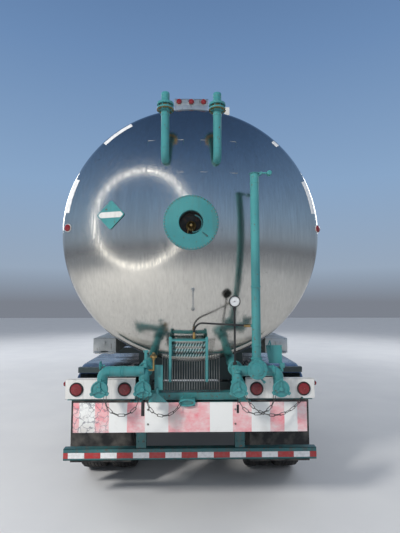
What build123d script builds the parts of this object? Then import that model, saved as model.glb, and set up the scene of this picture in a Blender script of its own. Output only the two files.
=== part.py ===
"""Parked tank semi-trailer for liquefied gas, as an assembly of separate pieces.

Millimetres. X is to the right seen from behind, Y is forward, Z is up.
The origin is on the ground, midway along the length and the width.
"""
from math import cos, pi, radians, sin, sqrt
import os

from build123d import *

# How far two forms of one piece run into each other, and the play at the end of a shaft
OVERLAP = 1
END_PLAY = 1

# Tank jacket and its dished ends
OVERALL_LENGTH = 10500
TANK_RADIUS = 1220
TANK_BOTTOM_Z = 1340
CROWN_RADIUS = 2440
KNUCKLE_RADIUS = 146
TANK_SIDES = 40
CROWN_BANDS = 3
CROWN_LAND_RADIUS = 260
OUTLET_REACH = 636
SEAT_GAP = 0.3

# Manway on the rear head
MANWAY_RISE = 15
MANWAY_RING_RADIUS = 237.5
MANWAY_HOLE_RADIUS = 103.5
MANWAY_STAND_OFF = 25
MANWAY_POCKET_DEPTH = 120
VALVE_FLANGE_RADIUS = 46
VALVE_FLANGE_DEPTH = 60
VALVE_STEM_RADIUS = 24
VALVE_DEPTH = 95
VALVE_LEVER = (60, -50)
VALVE_LEVER_DEPTH = 45
VALVE_LEVER_WIDTH = 16
VALVE_LEVER_THICKNESS = 10

# Running gear
WHEEL_RADIUS = 525
AXLE_SPACING = 1245
REAR_AXLE_FROM_REAR = 1750
TYRE_WIDTH = 279
DUAL_SPACING = 328
TYRE_INSET = 3.5
TYRE_SIDES = 20
TYRE_WALL_RADIUS = 420
TREAD_INSET = 34
RIM_RADIUS = 290
RIM_HALF_WIDTH = 105
RIM_WALL = 20
AXLE_TUBE_RADIUS = 63.5
BRAKE_FROM_SPRING = 160
BRAKE_RADIUS = 80
BRAKE_LENGTH = 150
BRAKE_REACH = 110
BRAKE_RISE = 40
BRAKE_ARM = 60
SPINDLE_RADIUS = 38
HUB_CAP = 30
HUB_RADIUS = 105
HUB_INNER_REACH = 250
HUB_OUTER_REACH = 190
DISC_THICKNESS = 24
HAND_HOLE_COUNT = 5
HAND_HOLE_RADIUS = 38
HAND_HOLE_CIRCLE = 195
RUNNING_GAP = 0.5
BORE_SIDES = 10
SPRING_FROM_TYRE = 144.5
SPRING_WIDTH = 75
SPRING_REACH = 520
SPRING_LOW_Z = 640
SPRING_RISE = 80
SPRING_THICKNESS = 70
SPRING_STATIONS = (-1, -0.6, -0.2, 0.2, 0.6, 1)
SEAT_WIDTH = 110
SEAT_LENGTH = 180
SEAT_OVERLAP = 10
HANGER_LENGTH = 220
HANGER_HEIGHT = 180
HANGER_SLOPE = 75
HANGER_WIDTH = 95
HANGER_GAP = 20

# Rear frame
RAIL_HEIGHT = 200
RAIL_WIDTH = 100
RAIL_WALL = 12
RAIL_TOP_Z = 1060
FRAME_FROM_REAR = 292
FRAME_END_FROM_REAR = 4170
WEB_THICKNESS = 20
PAD_THICKNESS = 10
PAD_WIDTH = 150
SADDLE_OVERHANG = 100
SADDLES_FROM_REAR = (1250, 2373, 3550)
CROSS_HALF_WIDTH = 40
CROSS_INSET = 20
ARM_WIDTH = 60
ARM_HEIGHT = 55
ARM_OVERLAP = 40
FENDER_INSET = 10
FLAP_BAR_WIDTH = 50
FLAP_BAR_HEIGHT = 60
BEAM_HALF_LENGTH = 1050
BEAM_FROM_REAR = 350
BEAM_DEPTH = 100
BEAM_HEIGHT = 60

# Lights, board and guard at the rear
BUMPER_FROM_REAR = 280
LIGHT_BAR_INNER_X = 470
LIGHT_BAR_LOW_Z = 1084
LIGHT_BAR_HIGH_Z = 1247
LAMP_XS = (556, 957)
LAMP_Z = 1165
LAMP_RADIUS = 58
LAMP_DEPTH = 18
BOARD_HALF_WIDTH = 980
BOARD_LOW_Z = 813
BOARD_HIGH_Z = 1054
GUARD_HALF_WIDTH = 1175
GUARD_LOW_Z = 440
GUARD_HIGH_Z = 544
GUARD_FROM_REAR = 680
GUARD_DEPTH = 70
GUARD_POST_WIDTH = 90
GUARD_BRACE = 50
GUARD_BRACE_Y = (40, 340)
GUARD_BRACE_RISE = 20

# Fenders, flaps and hose trays
FENDER_TOP_Z = 1200
FENDER_WALL = 5
FENDER_CORNER_RADIUS = 450
FENDER_CORNER_STEPS = 6
FENDER_WIDTH = 615
FENDER_FROM_SIDE = 5
FENDER_OVERHANG = 675
FENDER_END_Z = 620
FLAP_FROM_REAR = 1010
FLAP_LOW_Z = 300
FLAP_HIGH_Z = 980
FLAP_THICKNESS = 10
TRAY_INNER_X = 735
TRAY_WIDTH = 220
TRAY_HEIGHT = 138
TRAY_HEADROOM = 48
TRAY_FROM_REAR = 836
TRAY_END_FROM_REAR = 3750
TRAY_WALL = 6
DOOR_THICKNESS = 6
DOOR_GAP = 3
DOOR_PIN_RADIUS = 6
DOOR_BARREL_RADIUS = 11
DOOR_PIN_REACH = 95
DOOR_KNUCKLE = 30
DOOR_PLAY = 5
DOOR_DROP = 4
DOOR_NOTCH = 14

# Pipework at the rear
PIPE_RADIUS = 42
PIPE_SIDES = 8
OUTLET_XS = (375, 710)
OUTLET_Z = 1217
MANIFOLD_Z = 1338
MANIFOLD_FROM_REAR = 130
PIPE_BEND_RADIUS = 50
RISER_REACH = 150
CAP_RADIUS = 66
CAP_LUG_REACH = 80
CAP_LUG_WIDTH = 30
CAP_LUG_INSET = 10
CAP_DEPTH = 50
RISER_FROM_REAR = 710
STACK_X = 527
STACK_FROM_REAR = 80
STACK_RADIUS = 36.5
STACK_FOOT_Z = 1450
STACK_TOP_Z = 2957
STACK_SOCKET_RADIUS = 50.5
STACK_SOCKET_DROP = 60
BONNET_RADIUS = 80
BONNET_DEPTH = 30
BONNET_DROP = 6
FLAP_PIN_RADIUS = 4
FLAP_PIN_REACH = 18
FLAP_PIN_RISE = 10
FLAP_PIN_HALF_LENGTH = 17
FLAP_GAP = 2
EAR_SPAN = (14, 20)
EAR_OVERLAP = 6
EAR_DROP = 22
EAR_MARGIN = 10
LID_RADIUS = 44.5
LID_THICKNESS = 6
LID_NOTCH_X = (-32, 16)
LID_NOTCH_Z = (-20, 60)
LID_NOTCH_WIDTH = 50
COUNTER_ARM_LENGTH = 70
COUNTER_ARM_WIDTH = 20
COUNTER_ARM_HEIGHT = 16
COUNTERWEIGHT_RADIUS = 20
COUNTERWEIGHT_LENGTH = 50
RELIEF_X = 230
RELIEF_INSET = 22
RELIEF_RADIUS = 37
RELIEF_LOW_DROP = 623
RELIEF_TOP_DROP = 27
RELIEF_STUB = 200
RELIEF_BEND_RADIUS = 60
RELIEF_FLANGE_RADIUS = 74
RELIEF_FLANGE_DROP = 160
RELIEF_FLANGE_THICKNESS = 24
RELIEF_FLANGE_STEPS = (-32, 8)
GAUGE_X = 365
GAUGE_FROM_REAR = 190
GAUGE_Z = 1900
GAUGE_RADIUS = 48
GAUGE_FRONT = 16
GAUGE_DEPTH = 36
GAUGE_STEM_RADIUS = 9

# Chains of the outlet caps
CHAIN_PITCH = 52
CHAIN_WIRE = 5
CHAIN_LINK_WIDTH = 24
CHAIN_PLAY = 0.95
CHAIN_COUNTS = (9, 9, 9, 13)
HOOK_RADIUS = 4
HOOK_REACH = 64
HOOK_STAND_OFF = 12
HOOK_LENGTH = 28
HOOK_TIP = 10
EYE_X = -28
EYE_HALF_WIDTH = 64
EYE_THICKNESS = 12
EYE_LOW_Z = 1026
EYE_HIGH_Z = 1084
EYE_HOOK_INSET = 12
EYE_HOOK_RISE = 30
BAR_HOOK_X = 939
BAR_HOOK_RISE = 5

# Sensing line from the vent stack to the coil
HOSE_RADIUS = 8
HOSE_FITTING_RADIUS = 14
HOSE_FITTING_LENGTH = 45
HOSE_HIGH_Z = 1705
HOSE_RISE = 11
HOSE_BEND_RADIUS = 85
HOSE_LOW_X = 27
HOSE_START_GAP = 4.6

# Pressure coil and its cage under the head
CAGE_HALF_WIDTH = 250
CAGE_FROM_REAR = 360
CAGE_LOW_Z = 1120
CAGE_HIGH_Z = 1453
CAGE_BAR_COUNT = 24
CAGE_BAR = 8
COIL_LEFT_X = -190
COIL_RIGHT_X = 150
COIL_POST = 10
COIL_POST_REACH = 34
COIL_POST_LOW_Z = 1211
COIL_BAR = 8
COIL_TUBE_RADIUS = 13
COIL_FIN_SIZE = 46
COIL_FIN_THICKNESS = 2
COIL_FIN_PITCH = 29
COIL_FIN_COUNT = 11
COIL_ROW_ZS = (1490, 1545)
COIL_FROM_REAR = 370
COIL_BAR_Z = 1577
COIL_BAR_HALF_HEIGHT = 25

# Top lamp bracket
TOP_LAMP_XS = (-119, 0, 119)
TOP_LAMP_RADIUS = 30
TOP_LAMP_RISE = 44
TOP_LAMP_DEPTH = 20
TOP_BAR_HALF_LENGTH = 165
TOP_BAR_FROM_REAR = 550
TOP_BAR_RISE = (12, 76)
TOP_BAR_THICKNESS = 10
TOP_FOOT_DEPTH = 160
TOP_FOOT_DROP = 40

# Front end
KINGPIN_FROM_FRONT = 900
COUPLER_Z = 1200
COUPLER_THICKNESS = 12
COUPLER_HALF_WIDTH = 500
COUPLER_END_FROM_FRONT = 1500
COUPLER_FROM_FRONT = 400
KINGPIN_RADIUS = 25.4
KINGPIN_HEAD_RADIUS = 35.7
KINGPIN_LENGTH = 84
KINGPIN_COLLAR = 28
KINGPIN_HEAD = 20
FRONT_RAIL_X = 430
FRONT_RAIL_WIDTH = 80
FRONT_RAIL_HEIGHT = 110
FRONT_SADDLE_HALF_WIDTH = 480
FRONT_CROSS = 20
BOX_HALF_WIDTH = 220
BOX_DEPTH = 60
BOX_LIFT = 10
SOCKET_XS = (-150, 0, 150)
SOCKET_RADIUS = 28
SOCKET_DEPTH = 40
FRONT_SADDLES_FROM_FRONT = (1400, 900, 550)

# Air tanks
AIR_TANK_RADIUS = 115
AIR_TANK_LENGTH = 640
AIR_TANK_PLATE = 12
AIR_TANK_PLATE_OVERLAP = 80
AIR_TANKS_FROM_REAR = (3810, 4050)

# Landing gear
LEG_X = 590
LEG_FROM_FRONT = 3050
LEG_OUTER = 140
LEG_INNER = 110
LEG_SPLIT_Z = 560
LEG_TOP_Z = 1440
SHOE_LENGTH = 300
SHOE_WIDTH = 260
SHOE_HEIGHT = 50
SHOE_CORNER = 40
LEG_FRAME_LOW_Z = 1180
LEG_PLATE = 10
LEG_PLATE_HALF_LENGTH = 100
LEG_PLATE_LOW_Z = 760
LEG_PLATE_DROP = 20
LEG_BRACE_WIDTH = 50
LEG_BRACE_THICKNESS = 40
LEG_BRACE_Y = -70
LEG_BRACE_LOW_Z = 800
LEG_BRACE_RISE = 20
LEG_BRACE_MIDDLE_X = 60
LEG_CROSS_HALF_WIDTH = 100
LEG_CROSS_HEIGHT = 60
SHAFT_Z = 1020
SHAFT_RADIUS = 16
SHAFT_END_GAP = 10
CRANK_RADIUS = 14
CRANK_REACH = 120
CRANK_DROP = 300
CRANK_BEND_RADIUS = 40

SIDES = {"left": -1, "right": 1}


def block(x, y, z, mode=Mode.ADD):
    """A box between the low and high values given for each direction."""
    spans = (x, y, z)
    with Locations(tuple(sum(span) / 2 for span in spans)):
        Box(*[abs(span[1] - span[0]) for span in spans], mode=mode)


def both_ways(side, low, high):
    """A span in X, mirrored to the left when side is negative."""
    return tuple(sorted((side * low, side * high)))


def looking_right(x, y, z):
    """The plane at a place whose normal points to the right."""
    return Plane(origin=(x, y, z), x_dir=(0, 1, 0), z_dir=(1, 0, 0))


def looking_back(x, y, z):
    """The plane at a place whose normal points to the rear."""
    return Plane(origin=(x, y, z), x_dir=(1, 0, 0), z_dir=(0, -1, 0))


def prism(radius, sides, plane, depth):
    """A regular prism whose flat sides lie at the radius, from the plane along its normal."""
    with BuildPart() as solid:
        with BuildSketch(plane):
            RegularPolygon(radius / cos(pi / sides), sides, rotation=180 / sides)
        extrude(amount=depth)
    return solid.part


def pin(radius, plane, length):
    """A round pin from the plane along its normal."""
    with BuildPart() as solid:
        with BuildSketch(plane):
            Circle(radius)
        extrude(amount=length)
    return solid.part


def rounded_route(points, bend_radius, steps=3):
    """The route's points with each corner cut into short chords of an arc."""
    route = [Vector(points[0])]
    for before, corner, after in zip(points, points[1:], points[2:]):
        corner = Vector(corner)
        inward = (Vector(before) - corner).normalized()
        outward = (Vector(after) - corner).normalized()
        half_turn = radians(inward.get_angle(outward)) / 2
        setback = bend_radius / (sin(half_turn) / cos(half_turn))
        centre = corner + (inward + outward).normalized() * (bend_radius / sin(half_turn))
        start = corner + inward * setback - centre
        end = corner + outward * setback - centre
        turn = pi - 2 * half_turn
        for step in range(steps + 1):
            share = step / steps
            blend = start * (sin((1 - share) * turn) / sin(turn)) + end * (sin(share * turn) / sin(turn))
            route.append(centre + blend)
    route.append(Vector(points[-1]))
    return route


def pipe(points, radius, bend_radius, sides=PIPE_SIDES):
    """A pipe with flat sides, mitred along its route."""
    route = rounded_route(points, bend_radius)
    with BuildPart() as solid:
        with BuildLine() as path:
            Polyline(*route)
        with BuildSketch(Plane(origin=route[0], z_dir=route[1] - route[0])):
            RegularPolygon(radius, sides, rotation=180 / sides)
        sweep(path=path.line, transition=Transition.RIGHT)
    return solid.part


def bar(start, end, width, height):
    """A straight rectangular bar between two points."""
    with BuildPart() as solid:
        with BuildLine() as path:
            Line(start, end)
        with BuildSketch(Plane(origin=start, x_dir=(1, 0, 0), z_dir=Vector(end) - Vector(start))):
            Rectangle(width, height)
        sweep(path=path.line)
    return solid.part


def finish(builder, label):
    """Label a finished piece and write it to its file."""
    builder.part.label = label
    export_step(builder.part, f"parts/{label}.step")


os.makedirs("parts", exist_ok=True)

# Places worked out from the two ends and the tank
REAR_END_Y = -OVERALL_LENGTH / 2
FRONT_END_Y = OVERALL_LENGTH / 2
REAR_AXLE_Y = REAR_END_Y + REAR_AXLE_FROM_REAR
FRAME_REAR_Y = REAR_END_Y + FRAME_FROM_REAR
FRAME_FRONT_Y = REAR_END_Y + FRAME_END_FROM_REAR
BEAM_REAR_Y = REAR_END_Y + BEAM_FROM_REAR
BUMPER_FACE_Y = REAR_END_Y + BUMPER_FROM_REAR
GUARD_REAR_Y = REAR_END_Y + GUARD_FROM_REAR
FLAP_Y = REAR_END_Y + FLAP_FROM_REAR
TRAY_REAR_Y = REAR_END_Y + TRAY_FROM_REAR
TRAY_FRONT_Y = REAR_END_Y + TRAY_END_FROM_REAR
MANIFOLD_Y = REAR_END_Y + MANIFOLD_FROM_REAR
RISER_Y = REAR_END_Y + RISER_FROM_REAR
STACK_Y = REAR_END_Y + STACK_FROM_REAR
GAUGE_Y = REAR_END_Y + GAUGE_FROM_REAR
CAGE_Y = REAR_END_Y + CAGE_FROM_REAR
COIL_Y = REAR_END_Y + COIL_FROM_REAR
HOSE_LOW_Y = COIL_Y - COIL_POST_REACH + COIL_BAR / 2
TOP_BAR_Y = REAR_END_Y + TOP_BAR_FROM_REAR
KINGPIN_Y = FRONT_END_Y - KINGPIN_FROM_FRONT
COUPLER_REAR_Y = FRONT_END_Y - COUPLER_END_FROM_FRONT
COUPLER_FRONT_Y = FRONT_END_Y - COUPLER_FROM_FRONT
LEG_Y = FRONT_END_Y - LEG_FROM_FRONT
SADDLE_YS = tuple(REAR_END_Y + reach for reach in SADDLES_FROM_REAR)
AIR_TANK_YS = tuple(REAR_END_Y + reach for reach in AIR_TANKS_FROM_REAR)
FRONT_SADDLE_YS = tuple(FRONT_END_Y - reach for reach in FRONT_SADDLES_FROM_FRONT)
TANK_AXIS_Z = TANK_BOTTOM_Z + TANK_RADIUS
TANK_TOP_Z = TANK_AXIS_Z + TANK_RADIUS
MANWAY_Z = TANK_AXIS_Z + MANWAY_RISE
HEAD_DEPTH = CROWN_RADIUS - sqrt((CROWN_RADIUS - KNUCKLE_RADIUS) ** 2 - (TANK_RADIUS - KNUCKLE_RADIUS) ** 2)
FRONT_TANGENT_Y = FRONT_END_Y - HEAD_DEPTH
REAR_TANGENT_Y = REAR_END_Y + OUTLET_REACH
REAR_APEX_Y = REAR_TANGENT_Y - HEAD_DEPTH
RAIL_LOW_Z = RAIL_TOP_Z - RAIL_HEIGHT
BEAM_TOP_Z = RAIL_TOP_Z + BEAM_HEIGHT
FRONT_AXLE_Y = REAR_AXLE_Y + AXLE_SPACING
FENDER_OUTER_X = TANK_RADIUS - FENDER_FROM_SIDE
FENDER_INNER_X = FENDER_OUTER_X - FENDER_WIDTH
OUTER_TYRE_X = FENDER_OUTER_X - TYRE_INSET - TYRE_WIDTH / 2
INNER_TYRE_X = OUTER_TYRE_X - DUAL_SPACING
SPRING_X = INNER_TYRE_X - TYRE_WIDTH / 2 - SPRING_FROM_TYRE
BRAKE_X = SPRING_X - BRAKE_FROM_SPRING
SADDLE_HALF_WIDTH = SPRING_X + SADDLE_OVERHANG
RELIEF_Y = REAR_APEX_Y + RELIEF_INSET
RELIEF_LOW_Z = TANK_TOP_Z - RELIEF_LOW_DROP
RELIEF_TOP_Z = TANK_TOP_Z - RELIEF_TOP_DROP
RELIEF_FLANGE_Z = TANK_TOP_Z - RELIEF_FLANGE_DROP
TRAY_HIGH_Z = TANK_AXIS_Z - sqrt(TANK_RADIUS**2 - TRAY_INNER_X**2) - TRAY_HEADROOM
TRAY_LOW_Z = TRAY_HIGH_Z - TRAY_HEIGHT


# Tank jacket: barrel between the two tangent planes
with BuildPart() as tank_barrel:
    with BuildSketch(Plane.XZ.offset(-FRONT_TANGENT_Y)):
        with Locations((0, TANK_AXIS_Z)):
            RegularPolygon(TANK_RADIUS, TANK_SIDES)
    extrude(amount=FRONT_TANGENT_Y - REAR_TANGENT_Y)
finish(tank_barrel, "tank_barrel")


def head_rings():
    """Radius and height of each ring of a dished end, from the crown down to the tangent plane."""
    reach = TANK_RADIUS - KNUCKLE_RADIUS
    slant = CROWN_RADIUS - KNUCKLE_RADIUS
    edge_angle = Vector(0, 1).get_angle(Vector(reach, sqrt(slant**2 - reach**2)))
    rings = [(CROWN_LAND_RADIUS, HEAD_DEPTH)]
    for band in range(1, CROWN_BANDS + 1):
        angle = radians(edge_angle * band / CROWN_BANDS)
        rings.append((CROWN_RADIUS * sin(angle), HEAD_DEPTH - CROWN_RADIUS * (1 - cos(angle))))
    middle = radians((90 + edge_angle) / 2)
    rings.append((reach + KNUCKLE_RADIUS * sin(middle), KNUCKLE_RADIUS * cos(middle)))
    rings.append((TANK_RADIUS, 0))
    return rings


def dished_head(tangent_y, direction):
    """A dished end that bulges from its tangent plane, direction +1 forward or -1 to the rear."""
    points = []
    for radius, height in head_rings():
        for side in range(TANK_SIDES):
            angle = 2 * pi * side / TANK_SIDES
            points.append((radius * cos(angle), tangent_y + direction * height,
                           TANK_AXIS_Z + radius * sin(angle)))
    with BuildPart() as head:
        ConvexPolyhedron(points)
    return head.part


with BuildPart() as tank_head_front:
    add(dished_head(FRONT_TANGENT_Y, 1))
finish(tank_head_front, "tank_head_front")

# The rear head has a round pocket behind the manway ring
POCKET_PLANE = looking_back(0, REAR_APEX_Y + MANWAY_POCKET_DEPTH, MANWAY_Z)
with BuildPart() as tank_head_rear:
    add(dished_head(REAR_TANGENT_Y, -1))
    add(prism(MANWAY_HOLE_RADIUS, 16, POCKET_PLANE, 2 * MANWAY_POCKET_DEPTH), mode=Mode.SUBTRACT)
finish(tank_head_rear, "tank_head_rear")

HEAD_SHAPE = dished_head(REAR_TANGENT_Y, -1)

with BuildPart() as manway_ring:
    add(prism(MANWAY_RING_RADIUS, 24, POCKET_PLANE, MANWAY_POCKET_DEPTH + MANWAY_STAND_OFF))
    add(prism(MANWAY_HOLE_RADIUS, 16, POCKET_PLANE, 2 * MANWAY_POCKET_DEPTH), mode=Mode.SUBTRACT)
    add(HEAD_SHAPE, mode=Mode.SUBTRACT)
finish(manway_ring, "manway_ring")

# Small valve and its lever inside the pocket
with BuildPart() as manway_core:
    add(prism(VALVE_FLANGE_RADIUS, 12, POCKET_PLANE, VALVE_FLANGE_DEPTH))
    add(prism(VALVE_STEM_RADIUS, 6, POCKET_PLANE, VALVE_DEPTH))
    lever_y = REAR_APEX_Y + VALVE_LEVER_DEPTH
    add(bar((0, lever_y, MANWAY_Z), (VALVE_LEVER[0], lever_y, MANWAY_Z + VALVE_LEVER[1]),
            VALVE_LEVER_WIDTH, VALVE_LEVER_THICKNESS))
finish(manway_core, "manway_core")


def saddle(centre_y, half_width, low_z):
    """A web plate across the trailer with a curved pad of flats under the tank."""
    seat_radius = TANK_RADIUS + SEAT_GAP
    with BuildPart() as solid:
        for radius, thickness in ((seat_radius + PAD_THICKNESS, WEB_THICKNESS), (seat_radius, PAD_WIDTH)):
            with BuildSketch(Plane.XZ.offset(-centre_y - thickness / 2)):
                if thickness == WEB_THICKNESS:
                    with Locations((0, (low_z + TANK_AXIS_Z) / 2)):
                        Rectangle(2 * half_width, TANK_AXIS_Z - low_z)
                else:
                    with Locations((0, TANK_AXIS_Z)):
                        RegularPolygon(seat_radius + PAD_THICKNESS, TANK_SIDES)
                    with Locations((0, low_z)):
                        Rectangle(2 * half_width, TANK_AXIS_Z - low_z, mode=Mode.INTERSECT)
                with Locations((0, TANK_AXIS_Z)):
                    RegularPolygon(radius, TANK_SIDES, mode=Mode.SUBTRACT)
            extrude(amount=thickness)
    return solid.part


def behind_cap(side, outlet_x, degrees):
    """Place of a hook behind an outlet cap, at an angle from the right."""
    turn = radians(degrees)
    return Vector(side * outlet_x + HOOK_REACH * cos(turn), REAR_END_Y + CAP_DEPTH + HOOK_STAND_OFF,
                  OUTLET_Z + HOOK_REACH * sin(turn))


def across_chain(start, end):
    """The level direction across a chain, pointing forward."""
    across = (end - start).cross(Vector(0, 0, 1)).normalized()
    return across if across.Y > 0 else -across


def chain_joints(start, end, count):
    """Ends of the links of a chain that hangs in an arc between two hooks, as long as its links."""
    chord = end - start
    length = count * CHAIN_PITCH - 2 * HOOK_RADIUS
    low_half, high_half = 0.01, pi
    for _ in range(40):
        half_angle = (low_half + high_half) / 2
        if sin(half_angle) / half_angle > chord.length / length:
            low_half = half_angle
        else:
            high_half = half_angle
    arc_radius = length / (2 * half_angle)
    level = chord.normalized()
    down = across_chain(start, end).cross(level)
    if down.Z > 0:
        down = -down
    centre = (start + end) * 0.5 - down * (arc_radius * cos(half_angle))
    joints = []
    for joint in range(count + 1):
        angle = (joint * CHAIN_PITCH - HOOK_RADIUS) / arc_radius - half_angle
        joints.append(centre + level * (arc_radius * sin(angle)) + down * (arc_radius * cos(angle)))
    return joints


def chain_hooks(carrier):
    """The pins that the chains hang on, for one carrier."""
    hooks = []
    for start_carrier, start, end_carrier, end in CHAINS:
        across = across_chain(start, end)
        for name, place in ((start_carrier, start), (end_carrier, end)):
            if name == carrier:
                inward = -across if carrier == "outlet_caps" else across
                plane = Plane(origin=place - inward * HOOK_TIP, z_dir=inward)
                hooks.append(prism(HOOK_RADIUS, 6, plane, HOOK_LENGTH))
    return hooks


# Carrier and hook at the start of each chain, carrier and hook at its end
EYE_HOOK = Vector(EYE_X - EYE_HALF_WIDTH + EYE_HOOK_INSET, BUMPER_FACE_Y - EYE_THICKNESS - HOOK_STAND_OFF,
                  EYE_LOW_Z + EYE_HOOK_RISE)
BAR_HOOK = Vector(BAR_HOOK_X, BUMPER_FACE_Y - HOOK_STAND_OFF, LIGHT_BAR_LOW_Z + BAR_HOOK_RISE)
CHAINS = [
    ("outlet_caps", behind_cap(-1, OUTLET_XS[1], -55), "outlet_caps", behind_cap(-1, OUTLET_XS[0], -125)),
    ("outlet_caps", behind_cap(-1, OUTLET_XS[0], -65), "rear_frame", EYE_HOOK),
    ("outlet_caps", behind_cap(1, OUTLET_XS[0], -90), "outlet_caps", behind_cap(1, OUTLET_XS[1], -135)),
    ("outlet_caps", behind_cap(1, OUTLET_XS[0], -45), "light_bars", BAR_HOOK),
]

# Rear frame: channel rails, cross members, saddles and the arms that carry fenders and trays
with BuildPart() as rear_frame:
    for side in SIDES.values():
        with BuildSketch(Plane.XZ.offset(-FRAME_FRONT_Y)):
            with Locations((side * SPRING_X, RAIL_TOP_Z - RAIL_HEIGHT / 2)):
                Rectangle(RAIL_WIDTH, RAIL_HEIGHT)
            with Locations((side * (SPRING_X - RAIL_WALL), RAIL_TOP_Z - RAIL_HEIGHT / 2)):
                Rectangle(RAIL_WIDTH, RAIL_HEIGHT - 2 * RAIL_WALL, mode=Mode.SUBTRACT)
        extrude(amount=FRAME_FRONT_Y - FRAME_REAR_Y)
    inner_x = SPRING_X + RAIL_WIDTH / 2 - RAIL_WALL
    for cross_y in (*SADDLE_YS, FRAME_REAR_Y + RAIL_WIDTH):
        block((-inner_x, inner_x), (cross_y - CROSS_HALF_WIDTH, cross_y + CROSS_HALF_WIDTH),
              (RAIL_LOW_Z + CROSS_INSET, RAIL_TOP_Z - CROSS_INSET))
    for saddle_y in SADDLE_YS:
        add(saddle(saddle_y, SADDLE_HALF_WIDTH, RAIL_TOP_Z))
        for side in SIDES.values():
            arm_y = (saddle_y - ARM_WIDTH / 2, saddle_y + ARM_WIDTH / 2)
            fender_arm_top = FENDER_TOP_Z - FENDER_WALL
            block(both_ways(side, SADDLE_HALF_WIDTH - ARM_OVERLAP, FENDER_OUTER_X - FENDER_INSET), arm_y,
                  (fender_arm_top - ARM_HEIGHT, fender_arm_top))
            block(both_ways(side, SADDLE_HALF_WIDTH - ARM_OVERLAP, TRAY_INNER_X + TRAY_WIDTH), arm_y,
                  (TRAY_LOW_Z - ARM_HEIGHT, TRAY_LOW_Z))
    block((-BEAM_HALF_LENGTH, BEAM_HALF_LENGTH), (BEAM_REAR_Y, BEAM_REAR_Y + BEAM_DEPTH),
          (RAIL_TOP_Z, BEAM_TOP_Z))
    for side in SIDES.values():
        flap_front_y = FLAP_Y + FLAP_THICKNESS
        block(both_ways(side, SPRING_X, FENDER_OUTER_X - FENDER_INSET),
              (flap_front_y, flap_front_y + FLAP_BAR_WIDTH), (FLAP_HIGH_Z - FLAP_BAR_HEIGHT, FLAP_HIGH_Z))
    # Eye bracket of the chains: a plate on the beam with a tongue before the board
    eye_x = (EYE_X - EYE_HALF_WIDTH, EYE_X + EYE_HALF_WIDTH)
    block(eye_x, (BUMPER_FACE_Y - EYE_THICKNESS, BEAM_REAR_Y + OVERLAP),
          (EYE_HIGH_Z - EYE_THICKNESS, EYE_HIGH_Z))
    block(eye_x, (BUMPER_FACE_Y - EYE_THICKNESS, BUMPER_FACE_Y - SEAT_GAP), (EYE_LOW_Z, EYE_HIGH_Z))
    add(chain_hooks("rear_frame"))
finish(rear_frame, "rear_frame")

with BuildPart() as mud_flaps:
    for side in SIDES.values():
        block(both_ways(side, FENDER_INNER_X, FENDER_OUTER_X - FENDER_INSET),
              (FLAP_Y, FLAP_Y + FLAP_THICKNESS), (FLAP_LOW_Z, FLAP_HIGH_Z))
finish(mud_flaps, "mud_flaps")

# Light bars stand against the rear face of the beam, the board against the ends of the rails
with BuildPart() as light_bars:
    for side in SIDES.values():
        block(both_ways(side, LIGHT_BAR_INNER_X, BEAM_HALF_LENGTH), (BUMPER_FACE_Y, BEAM_REAR_Y),
              (LIGHT_BAR_LOW_Z, LIGHT_BAR_HIGH_Z))
    add(chain_hooks("light_bars"))
finish(light_bars, "light_bars")

with BuildPart() as tail_lamps:
    for side in SIDES.values():
        for lamp_x in LAMP_XS:
            add(prism(LAMP_RADIUS, 12, looking_back(side * lamp_x, BUMPER_FACE_Y, LAMP_Z), LAMP_DEPTH))
finish(tail_lamps, "tail_lamps")

with BuildPart() as bumper_board:
    block((-BOARD_HALF_WIDTH, BOARD_HALF_WIDTH), (BUMPER_FACE_Y, FRAME_REAR_Y), (BOARD_LOW_Z, BOARD_HIGH_Z))
finish(bumper_board, "bumper_board")

with BuildPart() as underride_guard:
    guard_y = (GUARD_REAR_Y, GUARD_REAR_Y + GUARD_DEPTH)
    block((-GUARD_HALF_WIDTH, GUARD_HALF_WIDTH), guard_y, (GUARD_LOW_Z, GUARD_HIGH_Z))
    for side in SIDES.values():
        post_x = both_ways(side, SPRING_X - GUARD_POST_WIDTH / 2, SPRING_X + GUARD_POST_WIDTH / 2)
        block(post_x, guard_y, (GUARD_HIGH_Z, RAIL_LOW_Z))
        add(bar((side * SPRING_X, GUARD_REAR_Y + GUARD_BRACE_Y[0], GUARD_HIGH_Z + GUARD_BRACE_RISE),
                (side * SPRING_X, GUARD_REAR_Y + GUARD_BRACE_Y[1], RAIL_LOW_Z - OVERLAP), GUARD_BRACE, GUARD_BRACE))
    brace_end_y = GUARD_REAR_Y + GUARD_BRACE_Y[1] + 2 * GUARD_BRACE
    block((-GUARD_HALF_WIDTH, GUARD_HALF_WIDTH), (GUARD_REAR_Y, brace_end_y), (RAIL_LOW_Z, RAIL_TOP_Z),
          mode=Mode.SUBTRACT)
finish(underride_guard, "underride_guard")

# Fenders over both axles, with rounded ends
FENDER_REAR_Y = REAR_AXLE_Y - FENDER_OVERHANG
FENDER_FRONT_Y = FRONT_AXLE_Y + FENDER_OVERHANG
with BuildPart() as fenders:
    for side in SIDES.values():
        with BuildSketch(Plane.YZ.offset(side * (FENDER_INNER_X + FENDER_OUTER_X) / 2)):
            with BuildLine():
                corners = [(FENDER_REAR_Y, FENDER_END_Z), (FENDER_REAR_Y, FENDER_TOP_Z),
                           (FENDER_FRONT_Y, FENDER_TOP_Z), (FENDER_FRONT_Y, FENDER_END_Z)]
                Polyline(*rounded_route(corners, FENDER_CORNER_RADIUS, FENDER_CORNER_STEPS))
                offset(amount=-FENDER_WALL, side=Side.RIGHT)
            make_face()
        extrude(amount=(FENDER_OUTER_X - FENDER_INNER_X) / 2, both=True)
finish(fenders, "fenders")

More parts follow.
